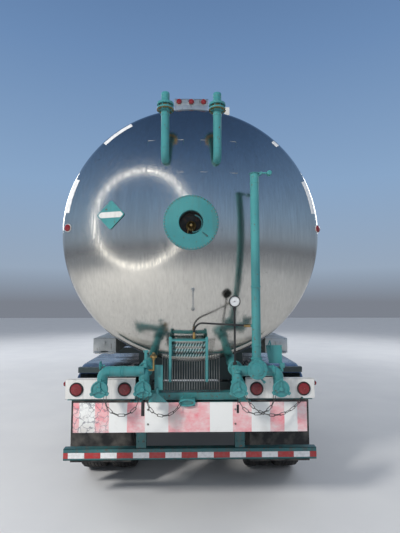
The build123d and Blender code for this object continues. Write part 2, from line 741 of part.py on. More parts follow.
# Hose trays: hollow boxes, open at the rear, with the hinge knuckle and pin of a drop door
TRAY_MIDDLE_X = TRAY_INNER_X + TRAY_WIDTH / 2
DOOR_PIN_Y = TRAY_REAR_Y - DOOR_GAP - DOOR_THICKNESS - DOOR_PIN_RADIUS
DOOR_PIN_Z = TRAY_LOW_Z
with BuildPart() as hose_trays:
    for side in SIDES.values():
        tray_x = both_ways(side, TRAY_INNER_X, TRAY_INNER_X + TRAY_WIDTH)
        hollow_x = both_ways(side, TRAY_INNER_X + TRAY_WALL, TRAY_INNER_X + TRAY_WIDTH - TRAY_WALL)
        block(tray_x, (TRAY_REAR_Y, TRAY_FRONT_Y), (TRAY_LOW_Z, TRAY_HIGH_Z))
        block(hollow_x, (TRAY_REAR_Y - OVERLAP, TRAY_FRONT_Y - TRAY_WALL),
              (TRAY_LOW_Z + TRAY_WALL, TRAY_HIGH_Z - TRAY_WALL), mode=Mode.SUBTRACT)
        middle_x = side * TRAY_MIDDLE_X
        block((middle_x - DOOR_KNUCKLE, middle_x + DOOR_KNUCKLE), (DOOR_PIN_Y, TRAY_REAR_Y + TRAY_WALL),
              (DOOR_PIN_Z - DOOR_PIN_RADIUS, DOOR_PIN_Z + OVERLAP))
        pin_plane = looking_right(middle_x - DOOR_PIN_REACH, DOOR_PIN_Y, DOOR_PIN_Z)
        add(prism(DOOR_PIN_RADIUS, 8, pin_plane, 2 * DOOR_PIN_REACH))
finish(hose_trays, "hose_trays")

for name, side in SIDES.items():
    with BuildPart() as door:
        middle_x = side * TRAY_MIDDLE_X
        door_y = (TRAY_REAR_Y - DOOR_GAP - DOOR_THICKNESS, TRAY_REAR_Y - DOOR_GAP)
        block((middle_x - TRAY_WIDTH / 2, middle_x + TRAY_WIDTH / 2), door_y,
              (DOOR_PIN_Z - DOOR_DROP, TRAY_HIGH_Z))
        for knuckle in SIDES.values():
            low_x, high_x = both_ways(knuckle, DOOR_KNUCKLE + DOOR_PLAY, DOOR_PIN_REACH - DOOR_PLAY)
            barrel_plane = looking_right(middle_x + low_x, DOOR_PIN_Y, DOOR_PIN_Z)
            add(prism(DOOR_BARREL_RADIUS, 8, barrel_plane, high_x - low_x))
        notch_half = DOOR_KNUCKLE + DOOR_PLAY
        block((middle_x - notch_half, middle_x + notch_half), (DOOR_PIN_Y - DOOR_BARREL_RADIUS, door_y[1]),
              (DOOR_PIN_Z - DOOR_BARREL_RADIUS, DOOR_PIN_Z + DOOR_NOTCH), mode=Mode.SUBTRACT)
        pin_plane = looking_right(middle_x - TRAY_WIDTH, DOOR_PIN_Y, DOOR_PIN_Z)
        add(prism(DOOR_PIN_RADIUS + RUNNING_GAP, BORE_SIDES, pin_plane, 2 * TRAY_WIDTH), mode=Mode.SUBTRACT)
    finish(door, f"tray_door_{name}")


def tyre(centre_x, dished_side):
    """A tyre from flat-sided rings: outer body, one dished sidewall and the seat of the rim."""
    half = TYRE_WIDTH / 2
    # x from the tyre's middle, radius
    outer_rings = ((half, TYRE_WALL_RADIUS), (half - TREAD_INSET, WHEEL_RADIUS))
    points = []
    for x, radius in outer_rings:
        for side in SIDES.values():
            points += ring(centre_x + side * x, radius)
    with BuildPart() as solid:
        ConvexPolyhedron(points)
        ConvexPolyhedron(ring(centre_x + dished_side * half, TYRE_WALL_RADIUS)
                         + ring(centre_x + dished_side * RIM_HALF_WIDTH, RIM_RADIUS), mode=Mode.SUBTRACT)
        ConvexPolyhedron(ring(centre_x - half, RIM_RADIUS) + ring(centre_x + half, RIM_RADIUS),
                         mode=Mode.SUBTRACT)
    return solid.part


def ring(x, radius):
    """Corners of a flat-sided ring across X, with one flat at the bottom."""
    corners = []
    corner_radius = radius / cos(pi / TYRE_SIDES)
    for step in range(TYRE_SIDES):
        angle = 2 * pi * (step + 0.5) / TYRE_SIDES
        corners.append((x, corner_radius * sin(angle), corner_radius * cos(angle)))
    return corners


# Wheels: twin tyres on one pair of rims and a hub, four times
TYRE_PAIR = Compound(children=[tyre(OUTER_TYRE_X, 1), tyre(INNER_TYRE_X, -1)])
PAIR_MIDDLE_X = OUTER_TYRE_X - DUAL_SPACING / 2
HUB_INNER_X = PAIR_MIDDLE_X - HUB_INNER_REACH
HUB_OUTER_X = PAIR_MIDDLE_X + HUB_OUTER_REACH
AXLES = {"rear": REAR_AXLE_Y, "front": FRONT_AXLE_Y}

with BuildPart() as wheel_core:
    rims_half = DUAL_SPACING / 2 + RIM_HALF_WIDTH
    span = (PAIR_MIDDLE_X - rims_half, PAIR_MIDDLE_X + rims_half)
    ConvexPolyhedron(ring(span[0], RIM_RADIUS) + ring(span[1], RIM_RADIUS))
    ConvexPolyhedron(ring(span[0], RIM_RADIUS - RIM_WALL) + ring(span[1], RIM_RADIUS - RIM_WALL),
                     mode=Mode.SUBTRACT)
    disc_plane = Plane.YZ.offset(PAIR_MIDDLE_X - DISC_THICKNESS / 2)
    with BuildSketch(disc_plane):
        RegularPolygon((RIM_RADIUS - RIM_WALL) / cos(pi / TYRE_SIDES), TYRE_SIDES, rotation=180 / TYRE_SIDES)
        with PolarLocations(HAND_HOLE_CIRCLE, HAND_HOLE_COUNT):
            RegularPolygon(HAND_HOLE_RADIUS, 6, mode=Mode.SUBTRACT)
    extrude(amount=DISC_THICKNESS)
    add(prism(HUB_RADIUS, 12, Plane.YZ.offset(HUB_INNER_X), HUB_OUTER_X - HUB_INNER_X))
    add(prism(SPINDLE_RADIUS + RUNNING_GAP, BORE_SIDES, Plane.YZ.offset(HUB_INNER_X),
              HUB_OUTER_X - HUB_INNER_X - HUB_CAP), mode=Mode.SUBTRACT)

for axle_name, axle_y in AXLES.items():
    for name, side in SIDES.items():
        with BuildPart() as tyres:
            with Locations((0, axle_y, WHEEL_RADIUS)):
                add(TYRE_PAIR if side > 0 else mirror(TYRE_PAIR, Plane.YZ, mode=Mode.PRIVATE))
        finish(tyres, f"tyres_{axle_name}_{name}")
        with BuildPart() as wheels:
            with Locations((0, axle_y, WHEEL_RADIUS)):
                add(wheel_core.part if side > 0 else mirror(wheel_core.part, Plane.YZ, mode=Mode.PRIVATE))
        finish(wheels, f"hub_and_rims_{axle_name}_{name}")

# Axles: tube with a spindle at each end and two brake chambers
for axle_name, axle_y in AXLES.items():
    with BuildPart() as axle:
        tube_half = HUB_INNER_X - END_PLAY
        add(prism(AXLE_TUBE_RADIUS, 12, looking_right(-tube_half, axle_y, WHEEL_RADIUS), 2 * tube_half))
        spindle_half = HUB_OUTER_X - HUB_CAP - END_PLAY
        with BuildSketch(Plane.YZ.offset(-spindle_half)):
            with Locations((axle_y, WHEEL_RADIUS)):
                Circle(SPINDLE_RADIUS)
        extrude(amount=2 * spindle_half)
        for side in SIDES.values():
            brake_y = axle_y + BRAKE_REACH
            chamber_end = looking_back(side * BRAKE_X, brake_y + BRAKE_LENGTH, WHEEL_RADIUS + BRAKE_RISE)
            add(prism(BRAKE_RADIUS, 10, chamber_end, BRAKE_LENGTH))
            block(both_ways(side, BRAKE_X - BRAKE_ARM / 2, BRAKE_X + BRAKE_ARM / 2),
                  (brake_y - BRAKE_RADIUS, brake_y + 2 * OVERLAP),
                  (WHEEL_RADIUS - BRAKE_RISE / 2, WHEEL_RADIUS + 3 * BRAKE_RISE / 2))
    finish(axle, f"axle_{axle_name}")

# Suspension: hangers, leaf springs with their seats, and the equaliser between them
MIDDLE_Y = (REAR_AXLE_Y + FRONT_AXLE_Y) / 2
with BuildPart() as suspension:
    for side in SIDES.values():
        spring_x = side * SPRING_X
        for axle_y in AXLES.values():
            with BuildSketch(Plane.YZ.offset(spring_x)):
                with BuildLine():
                    lower = [(axle_y + share * SPRING_REACH, SPRING_LOW_Z + SPRING_RISE * share**2)
                             for share in SPRING_STATIONS]
                    upper = [(y, z + SPRING_THICKNESS * (1 - abs(y - axle_y) / (2 * SPRING_REACH)))
                             for y, z in lower]
                    Polyline(*lower, *reversed(upper), close=True)
                make_face()
            extrude(amount=SPRING_WIDTH / 2, both=True)
            block((spring_x - SEAT_WIDTH / 2, spring_x + SEAT_WIDTH / 2),
                  (axle_y - SEAT_LENGTH / 2, axle_y + SEAT_LENGTH / 2),
                  (WHEEL_RADIUS + AXLE_TUBE_RADIUS, SPRING_LOW_Z + SEAT_OVERLAP))
        hanger_reach = SPRING_REACH + HANGER_GAP
        for hanger_y in (REAR_AXLE_Y - hanger_reach, MIDDLE_Y, FRONT_AXLE_Y + hanger_reach):
            with BuildSketch(Plane.YZ.offset(spring_x)):
                with Locations((hanger_y, RAIL_LOW_Z)):
                    Trapezoid(HANGER_LENGTH, HANGER_HEIGHT, HANGER_SLOPE, rotation=180,
                              align=(Align.CENTER, Align.MIN))
            extrude(amount=HANGER_WIDTH / 2, both=True)
finish(suspension, "suspension")


def outlet_route(side, outlet_x):
    """From the cap face forward, up to the manifold level."""
    return [(side * outlet_x, REAR_END_Y + CAP_DEPTH, OUTLET_Z), (side * outlet_x, MANIFOLD_Y, OUTLET_Z),
            (side * outlet_x, MANIFOLD_Y, MANIFOLD_Z)]


# Pipework: on each side two outlets joined by a manifold that runs forward and up into the tank
BARREL_SHAPE = tank_barrel.part
for name, side in SIDES.items():
    with BuildPart() as piping:
        inner_x, outer_x = OUTLET_XS
        add(pipe(outlet_route(side, outer_x) + [(side * inner_x, MANIFOLD_Y, MANIFOLD_Z)],
                 PIPE_RADIUS, PIPE_BEND_RADIUS))
        add(pipe(outlet_route(side, inner_x) + [(side * inner_x, RISER_Y, MANIFOLD_Z),
                                                (side * inner_x, RISER_Y, TANK_BOTTOM_Z + RISER_REACH)],
                 PIPE_RADIUS, PIPE_BEND_RADIUS))
        if side > 0:
            branch = Plane(origin=(STACK_X, MANIFOLD_Y, MANIFOLD_Z), z_dir=(0, -1, 0))
            add(prism(PIPE_RADIUS, PIPE_SIDES, branch, MANIFOLD_Y - STACK_Y))
            socket = Plane(origin=(STACK_X, STACK_Y, MANIFOLD_Z - STACK_SOCKET_DROP))
            add(prism(STACK_SOCKET_RADIUS, 12, socket, STACK_FOOT_Z - MANIFOLD_Z + STACK_SOCKET_DROP))
            bonnet = looking_back(STACK_X, STACK_Y - BONNET_DEPTH, STACK_FOOT_Z - BONNET_RADIUS - BONNET_DROP)
            add(prism(BONNET_RADIUS, 16, bonnet, BONNET_DEPTH))
        add(BARREL_SHAPE, mode=Mode.SUBTRACT)
    finish(piping, f"piping_{name}")

with BuildPart() as outlet_caps:
    for side in SIDES.values():
        for outlet_x in OUTLET_XS:
            cap_plane = looking_back(side * outlet_x, REAR_END_Y + CAP_DEPTH, OUTLET_Z)
            add(prism(CAP_RADIUS, 12, cap_plane, CAP_DEPTH))
            with BuildSketch(cap_plane.offset(CAP_LUG_INSET)):
                with PolarLocations(CAP_RADIUS, 3, start_angle=90):
                    Rectangle(2 * (CAP_LUG_REACH - CAP_RADIUS), CAP_LUG_WIDTH)
            extrude(amount=CAP_DEPTH - 2 * CAP_LUG_INSET)
    add(chain_hooks("outlet_caps"))
finish(outlet_caps, "outlet_caps")

# One link: a flat ring, turned a quarter round the chain from the one before
with BuildPart() as chain_link:
    link_length = CHAIN_PITCH + CHAIN_PLAY + 2 * CHAIN_WIRE
    Box(link_length, CHAIN_LINK_WIDTH, CHAIN_WIRE)
    Box(link_length - 2 * CHAIN_WIRE, CHAIN_LINK_WIDTH - 2 * CHAIN_WIRE, CHAIN_WIRE, mode=Mode.SUBTRACT)

with BuildPart() as cap_chains:
    links = []
    for (_, start, _, end), count in zip(CHAINS, CHAIN_COUNTS):
        across = across_chain(start, end)
        joints = chain_joints(start, end, count)
        for number, (before, after) in enumerate(zip(joints, joints[1:])):
            along = (after - before).normalized()
            link_plane = Plane(origin=(before + after) * 0.5, x_dir=along,
                               z_dir=along.cross(across) if number % 2 else across)
            links.append(link_plane.location * chain_link.part)
    add(links)
finish(cap_chains, "cap_chains")

# Vent stack with the two ears of its lid hinge at the top
FLAP_PIN_X = STACK_X + STACK_RADIUS + FLAP_PIN_REACH
FLAP_PIN_Z = STACK_TOP_Z + FLAP_PIN_RISE
with BuildPart() as vent_stack:
    add(prism(STACK_RADIUS, 16, Plane(origin=(STACK_X, STACK_Y, STACK_FOOT_Z)), STACK_TOP_Z - STACK_FOOT_Z))
    for side in SIDES.values():
        ear_y = tuple(STACK_Y + y for y in both_ways(side, *EAR_SPAN))
        block((STACK_X + STACK_RADIUS - EAR_OVERLAP, FLAP_PIN_X + EAR_MARGIN), ear_y,
              (STACK_TOP_Z - EAR_DROP, FLAP_PIN_Z + EAR_MARGIN))
    pin_plane = looking_back(FLAP_PIN_X, STACK_Y + FLAP_PIN_HALF_LENGTH, FLAP_PIN_Z)
    add(pin(FLAP_PIN_RADIUS, pin_plane, 2 * FLAP_PIN_HALF_LENGTH))
    add(prism(HOSE_FITTING_RADIUS, 6, Plane(origin=(STACK_X, STACK_Y, HOSE_HIGH_Z), z_dir=(-1, 0, 0)),
              STACK_RADIUS + HOSE_FITTING_LENGTH))
finish(vent_stack, "vent_stack")

# Rain flap: a disc over the stack with a counterweight arm beyond the pin
with BuildPart() as vent_flap:
    lid_z = STACK_TOP_Z + FLAP_GAP
    add(prism(LID_RADIUS, 16, Plane(origin=(STACK_X, STACK_Y, lid_z)), LID_THICKNESS))
    block((STACK_X, FLAP_PIN_X + COUNTER_ARM_LENGTH),
          (STACK_Y - COUNTER_ARM_WIDTH / 2, STACK_Y + COUNTER_ARM_WIDTH / 2),
          (lid_z, lid_z + COUNTER_ARM_HEIGHT))
    notch_x = tuple(FLAP_PIN_X + x for x in LID_NOTCH_X)
    notch_z = tuple(STACK_TOP_Z + z for z in LID_NOTCH_Z)
    for side in SIDES.values():
        beside_arm = both_ways(side, COUNTER_ARM_WIDTH / 2, COUNTER_ARM_WIDTH / 2 + LID_NOTCH_WIDTH)
        block(notch_x, tuple(STACK_Y + y for y in beside_arm), notch_z, mode=Mode.SUBTRACT)
    weight_y = STACK_Y + COUNTERWEIGHT_LENGTH / 2
    weight_plane = looking_back(FLAP_PIN_X + COUNTER_ARM_LENGTH, weight_y, FLAP_PIN_Z)
    add(prism(COUNTERWEIGHT_RADIUS, 10, weight_plane, COUNTERWEIGHT_LENGTH))
    bore_plane = looking_back(FLAP_PIN_X, STACK_Y + COUNTERWEIGHT_LENGTH, FLAP_PIN_Z)
    add(prism(FLAP_PIN_RADIUS + RUNNING_GAP, BORE_SIDES, bore_plane, 2 * COUNTERWEIGHT_LENGTH),
        mode=Mode.SUBTRACT)
finish(vent_flap, "vent_flap")

# Relief pipes: out of the head, up past the rim, each with a pair of flanges
with BuildPart() as top_relief_pipes:
    for side in SIDES.values():
        relief_x = side * RELIEF_X
        add(pipe([(relief_x, RELIEF_Y + RELIEF_STUB, RELIEF_LOW_Z), (relief_x, RELIEF_Y, RELIEF_LOW_Z),
                  (relief_x, RELIEF_Y, RELIEF_TOP_Z)], RELIEF_RADIUS, RELIEF_BEND_RADIUS))
        for step in RELIEF_FLANGE_STEPS:
            flange_plane = Plane(origin=(relief_x, RELIEF_Y, RELIEF_FLANGE_Z + step))
            add(prism(RELIEF_FLANGE_RADIUS, 12, flange_plane, RELIEF_FLANGE_THICKNESS))
    add(HEAD_SHAPE, mode=Mode.SUBTRACT)
finish(top_relief_pipes, "top_relief_pipes")

# Bracket bar with three round lamps on top of the rim
with BuildPart() as top_lamp_bracket:
    top_bar_x = (-TOP_BAR_HALF_LENGTH, TOP_BAR_HALF_LENGTH)
    top_bar_low_z, top_bar_high_z = (TANK_TOP_Z + rise for rise in TOP_BAR_RISE)
    block(top_bar_x, (TOP_BAR_Y, TOP_BAR_Y + TOP_BAR_THICKNESS), (top_bar_low_z, top_bar_high_z))
    block(top_bar_x, (TOP_BAR_Y, TOP_BAR_Y + TOP_FOOT_DEPTH), (TANK_TOP_Z - TOP_FOOT_DROP, top_bar_low_z))
    add(HEAD_SHAPE, mode=Mode.SUBTRACT)
    add(BARREL_SHAPE, mode=Mode.SUBTRACT)
    for lamp_x in TOP_LAMP_XS:
        lamp_plane = looking_back(lamp_x, TOP_BAR_Y, TANK_TOP_Z + TOP_LAMP_RISE)
        add(prism(TOP_LAMP_RADIUS, 12, lamp_plane, TOP_LAMP_DEPTH))
finish(top_lamp_bracket, "top_lamp_bracket")

# Pressure gauge on its stem above the right outlet pipe
with BuildPart() as gauge:
    stem_low_z = MANIFOLD_Z + PIPE_RADIUS * cos(pi / PIPE_SIDES)
    add(prism(GAUGE_STEM_RADIUS, 8, Plane(origin=(GAUGE_X, GAUGE_Y, stem_low_z)), GAUGE_Z - stem_low_z))
    add(prism(GAUGE_RADIUS, 20, looking_back(GAUGE_X, GAUGE_Y + GAUGE_FRONT, GAUGE_Z), GAUGE_DEPTH))
finish(gauge, "gauge")

# Cage: upright bars between rails that stand on the beam, with the end plates and top bar of the coil
with BuildPart() as coil_cage:
    cage_middle = (0, CAGE_Y + CAGE_BAR / 2, (CAGE_LOW_Z + CAGE_HIGH_Z) / 2)
    bar_pitch = (2 * CAGE_HALF_WIDTH - CAGE_BAR) / (CAGE_BAR_COUNT - 1)
    with Locations(cage_middle):
        with GridLocations(bar_pitch, 1, CAGE_BAR_COUNT, 1):
            Box(CAGE_BAR, CAGE_BAR, CAGE_HIGH_Z - CAGE_LOW_Z)
    for rail_z in (CAGE_LOW_Z, CAGE_HIGH_Z - CAGE_BAR):
        block((-CAGE_HALF_WIDTH, CAGE_HALF_WIDTH), (CAGE_Y, CAGE_Y + CAGE_BAR), (rail_z, rail_z + CAGE_BAR))
    coil_high_z = COIL_BAR_Z + COIL_BAR_HALF_HEIGHT
    for post_x in (COIL_LEFT_X, COIL_RIGHT_X - COIL_POST):
        block((post_x, post_x + COIL_POST), (COIL_Y - COIL_POST_REACH, COIL_Y + COIL_POST_REACH),
              (COIL_POST_LOW_Z, coil_high_z))
    block((COIL_LEFT_X, COIL_RIGHT_X), (COIL_Y - COIL_POST_REACH, COIL_Y - COIL_POST_REACH + COIL_BAR),
          (COIL_BAR_Z - COIL_BAR_HALF_HEIGHT, coil_high_z))
    hose_foot = Plane(origin=(HOSE_LOW_X, HOSE_LOW_Y, COIL_BAR_Z))
    add(prism(HOSE_FITTING_RADIUS, 6, hose_foot, HOSE_FITTING_LENGTH))
finish(coil_cage, "coil_cage")

# Black sensing line from the fitting on the stack, under the head and down to the coil
with BuildPart() as sensing_line:
    line_start = (STACK_X - STACK_RADIUS - HOSE_FITTING_LENGTH - HOSE_START_GAP, STACK_Y, HOSE_HIGH_Z)
    line_end = (HOSE_LOW_X, HOSE_LOW_Y, COIL_BAR_Z + HOSE_FITTING_LENGTH)
    add(pipe([line_start, (HOSE_LOW_X, HOSE_LOW_Y, HOSE_HIGH_Z + HOSE_RISE), line_end],
             HOSE_RADIUS, HOSE_BEND_RADIUS, 6))
finish(sensing_line, "sensing_line")

# Finned tubes of the pressure coil, one above the other, held by the end plates
with BuildPart() as finned_coil:
    for row_z in COIL_ROW_ZS:
        row_plane = looking_right(COIL_LEFT_X + COIL_POST, COIL_Y, row_z)
        add(prism(COIL_TUBE_RADIUS, 4, row_plane, COIL_RIGHT_X - COIL_LEFT_X - 2 * COIL_POST))
    with Locations(((COIL_LEFT_X + COIL_RIGHT_X) / 2, COIL_Y, sum(COIL_ROW_ZS) / 2)):
        with GridLocations(COIL_FIN_PITCH, 1, COIL_FIN_COUNT, 1):
            Box(COIL_FIN_THICKNESS, COIL_FIN_SIZE, COIL_FIN_SIZE + COIL_ROW_ZS[1] - COIL_ROW_ZS[0])
finish(finned_coil, "finned_coil")

# Air tanks under the front of the rear frame
with BuildPart() as air_tanks:
    for tank_y in AIR_TANK_YS:
        air_plane = looking_right(-AIR_TANK_LENGTH / 2, tank_y, RAIL_LOW_Z - AIR_TANK_PLATE - AIR_TANK_RADIUS)
        add(prism(AIR_TANK_RADIUS, 12, air_plane, AIR_TANK_LENGTH))
    for side in SIDES.values():
        block(both_ways(side, AIR_TANK_LENGTH / 2 - AIR_TANK_PLATE_OVERLAP, SPRING_X),
              (AIR_TANK_YS[0] - AIR_TANK_RADIUS, AIR_TANK_YS[1] + AIR_TANK_RADIUS),
              (RAIL_LOW_Z - AIR_TANK_PLATE, RAIL_LOW_Z))
finish(air_tanks, "air_tanks")

# Coupler plate with the kingpin: collar, neck and head
with BuildPart() as coupler_plate:
    with BuildSketch(Plane.XY.offset(COUPLER_Z)):
        with Locations((0, (COUPLER_REAR_Y + COUPLER_FRONT_Y) / 2)):
            Rectangle(2 * COUPLER_HALF_WIDTH, COUPLER_FRONT_Y - COUPLER_REAR_Y)
    extrude(amount=COUPLER_THICKNESS)
    pin_plane = Plane(origin=(0, KINGPIN_Y, COUPLER_Z), x_dir=(1, 0, 0), z_dir=(0, 0, -1))
    add(prism(KINGPIN_HEAD_RADIUS, 12, pin_plane, KINGPIN_COLLAR))
    add(prism(KINGPIN_HEAD_RADIUS, 12, pin_plane.offset(KINGPIN_LENGTH), -KINGPIN_HEAD))
    add(pin(KINGPIN_RADIUS, pin_plane, KINGPIN_LENGTH))
finish(coupler_plate, "coupler_plate")

# Front frame: two rails and saddles between the coupler plate and the tank
with BuildPart() as front_frame:
    frame_low_z = COUPLER_Z + COUPLER_THICKNESS
    for saddle_y in FRONT_SADDLE_YS:
        add(saddle(saddle_y, FRONT_SADDLE_HALF_WIDTH, frame_low_z))
    outer_x = FRONT_RAIL_X + FRONT_RAIL_WIDTH / 2
    front_rail_z = (frame_low_z, frame_low_z + FRONT_RAIL_HEIGHT)
    for side in SIDES.values():
        block(both_ways(side, outer_x - FRONT_RAIL_WIDTH, outer_x), (COUPLER_REAR_Y, COUPLER_FRONT_Y),
              front_rail_z)
    block((-outer_x, outer_x), (COUPLER_FRONT_Y - FRONT_CROSS, COUPLER_FRONT_Y), front_rail_z)
finish(front_frame, "front_frame")

with BuildPart() as front_connection_box:
    box_low_z = frame_low_z + BOX_LIFT
    box_high_z = frame_low_z + FRONT_RAIL_HEIGHT
    box_front_y = COUPLER_FRONT_Y + BOX_DEPTH
    block((-BOX_HALF_WIDTH, BOX_HALF_WIDTH), (COUPLER_FRONT_Y, box_front_y), (box_low_z, box_high_z))
    for socket_x in SOCKET_XS:
        socket_plane = Plane(origin=(socket_x, box_front_y, (box_low_z + box_high_z) / 2), z_dir=(0, 1, 0))
        add(prism(SOCKET_RADIUS, 10, socket_plane, SOCKET_DEPTH))
finish(front_connection_box, "front_connection_box")

# Landing gear: a saddle frame, two telescoped legs with shoes, and the shaft with its crank
with BuildPart() as landing_gear_frame:
    leg_inner_x = LEG_X - LEG_OUTER / 2
    leg_frame_y = (LEG_Y - LEG_PLATE_HALF_LENGTH, LEG_Y + LEG_PLATE_HALF_LENGTH)
    brace_y = LEG_Y + LEG_BRACE_Y
    add(saddle(LEG_Y, leg_inner_x - LEG_PLATE, LEG_FRAME_LOW_Z))
    for side in SIDES.values():
        block(both_ways(side, leg_inner_x - LEG_PLATE, leg_inner_x), leg_frame_y,
              (LEG_PLATE_LOW_Z, LEG_TOP_Z - LEG_PLATE_DROP))
        add(bar((side * (leg_inner_x - LEG_PLATE / 2), brace_y, LEG_BRACE_LOW_Z),
                (side * LEG_BRACE_MIDDLE_X, brace_y, LEG_FRAME_LOW_Z + LEG_BRACE_RISE),
                LEG_BRACE_WIDTH, LEG_BRACE_THICKNESS))
        block(both_ways(side, leg_inner_x, LEG_X), leg_frame_y, (SHOE_HEIGHT, LEG_TOP_Z), mode=Mode.SUBTRACT)
    block((-LEG_CROSS_HALF_WIDTH, LEG_CROSS_HALF_WIDTH), (leg_frame_y[0], LEG_Y),
          (LEG_FRAME_LOW_Z, LEG_FRAME_LOW_Z + LEG_CROSS_HEIGHT))
finish(landing_gear_frame, "landing_gear_frame")

with BuildPart() as landing_legs:
    for side in SIDES.values():
        leg_x = side * LEG_X
        block((leg_x - LEG_OUTER / 2, leg_x + LEG_OUTER / 2), (LEG_Y - LEG_OUTER / 2, LEG_Y + LEG_OUTER / 2),
              (LEG_SPLIT_Z, LEG_TOP_Z))
        block((leg_x - LEG_INNER / 2, leg_x + LEG_INNER / 2), (LEG_Y - LEG_INNER / 2, LEG_Y + LEG_INNER / 2),
              (SHOE_HEIGHT, LEG_SPLIT_Z))
        with BuildSketch(Plane(origin=(leg_x, LEG_Y, 0))):
            Rectangle(SHOE_WIDTH, SHOE_LENGTH)
            chamfer(vertices(), SHOE_CORNER)
        extrude(amount=SHOE_HEIGHT)
finish(landing_legs, "landing_legs")

with BuildPart() as landing_gear_shaft:
    shaft_half = leg_inner_x - SHAFT_END_GAP
    add(prism(SHAFT_RADIUS, 8, looking_right(-shaft_half, LEG_Y, SHAFT_Z), 2 * shaft_half))
    crank_x = -LEG_X - LEG_OUTER / 2
    crank_low_z = SHAFT_Z - CRANK_DROP
    add(pipe([(crank_x, LEG_Y, SHAFT_Z), (crank_x - CRANK_REACH, LEG_Y, SHAFT_Z),
              (crank_x - CRANK_REACH, LEG_Y, crank_low_z), (crank_x - 2 * CRANK_REACH, LEG_Y, crank_low_z)],
             CRANK_RADIUS, CRANK_BEND_RADIUS, 8))
finish(landing_gear_shaft, "landing_gear_shaft")
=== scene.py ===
"""Look of the parked tank semi-trailer: smooth shells, pipes, wheels, chains, lamps and their finishes.

Metres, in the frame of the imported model: X to the right seen from behind, Y forward, Z up.
"""
from math import asin, ceil, cos, pi, radians, sin, sqrt

import bmesh
import bpy
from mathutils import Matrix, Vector
from mathutils.geometry import tessellate_polygon

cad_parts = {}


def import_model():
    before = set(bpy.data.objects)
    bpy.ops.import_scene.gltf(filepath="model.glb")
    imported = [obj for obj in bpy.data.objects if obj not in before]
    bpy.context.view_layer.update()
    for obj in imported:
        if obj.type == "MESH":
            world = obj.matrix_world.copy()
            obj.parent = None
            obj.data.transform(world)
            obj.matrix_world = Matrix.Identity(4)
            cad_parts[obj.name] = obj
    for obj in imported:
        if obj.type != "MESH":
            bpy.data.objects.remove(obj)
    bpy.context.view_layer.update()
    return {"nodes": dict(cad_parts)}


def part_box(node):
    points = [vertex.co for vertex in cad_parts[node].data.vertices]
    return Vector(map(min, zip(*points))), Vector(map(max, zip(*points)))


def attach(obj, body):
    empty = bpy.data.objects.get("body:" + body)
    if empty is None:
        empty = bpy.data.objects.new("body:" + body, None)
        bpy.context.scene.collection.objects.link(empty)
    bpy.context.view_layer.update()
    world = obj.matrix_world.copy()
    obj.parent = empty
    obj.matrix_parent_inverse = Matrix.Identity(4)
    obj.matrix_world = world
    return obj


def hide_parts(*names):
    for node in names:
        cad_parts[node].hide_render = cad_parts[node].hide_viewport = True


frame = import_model()
SIDES = {"left": -1, "right": 1}
X_AXIS, Y_AXIS, Z_AXIS = Vector((1, 0, 0)), Vector((0, 1, 0)), Vector((0, 0, 1))

# Sizes read from the frame, and those of the dished heads
BARREL_LOW, BARREL_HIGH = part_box("tank_barrel")
TANK_RADIUS = (BARREL_HIGH.x - BARREL_LOW.x) / 2
TANK_AXIS_Z = (BARREL_LOW.z + BARREL_HIGH.z) / 2
REAR_TANGENT_Y, FRONT_TANGENT_Y = BARREL_LOW.y, BARREL_HIGH.y
CROWN_RADIUS = 2.440
KNUCKLE_RADIUS = 0.146
KNUCKLE_REACH = TANK_RADIUS - KNUCKLE_RADIUS
CROWN_EDGE = CROWN_RADIUS * KNUCKLE_REACH / (CROWN_RADIUS - KNUCKLE_RADIUS)
HEAD_DEPTH = CROWN_RADIUS - sqrt((CROWN_RADIUS - KNUCKLE_RADIUS) ** 2 - KNUCKLE_REACH**2)
REAR_APEX_Y = REAR_TANGENT_Y - HEAD_DEPTH
REAR_END_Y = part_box("outlet_caps")[0].y


# Materials


def rgba(colour):
    """A colour or one grey, with full alpha."""
    return (colour,) * 3 + (1,) if isinstance(colour, (int, float)) else tuple(colour) + (1,)


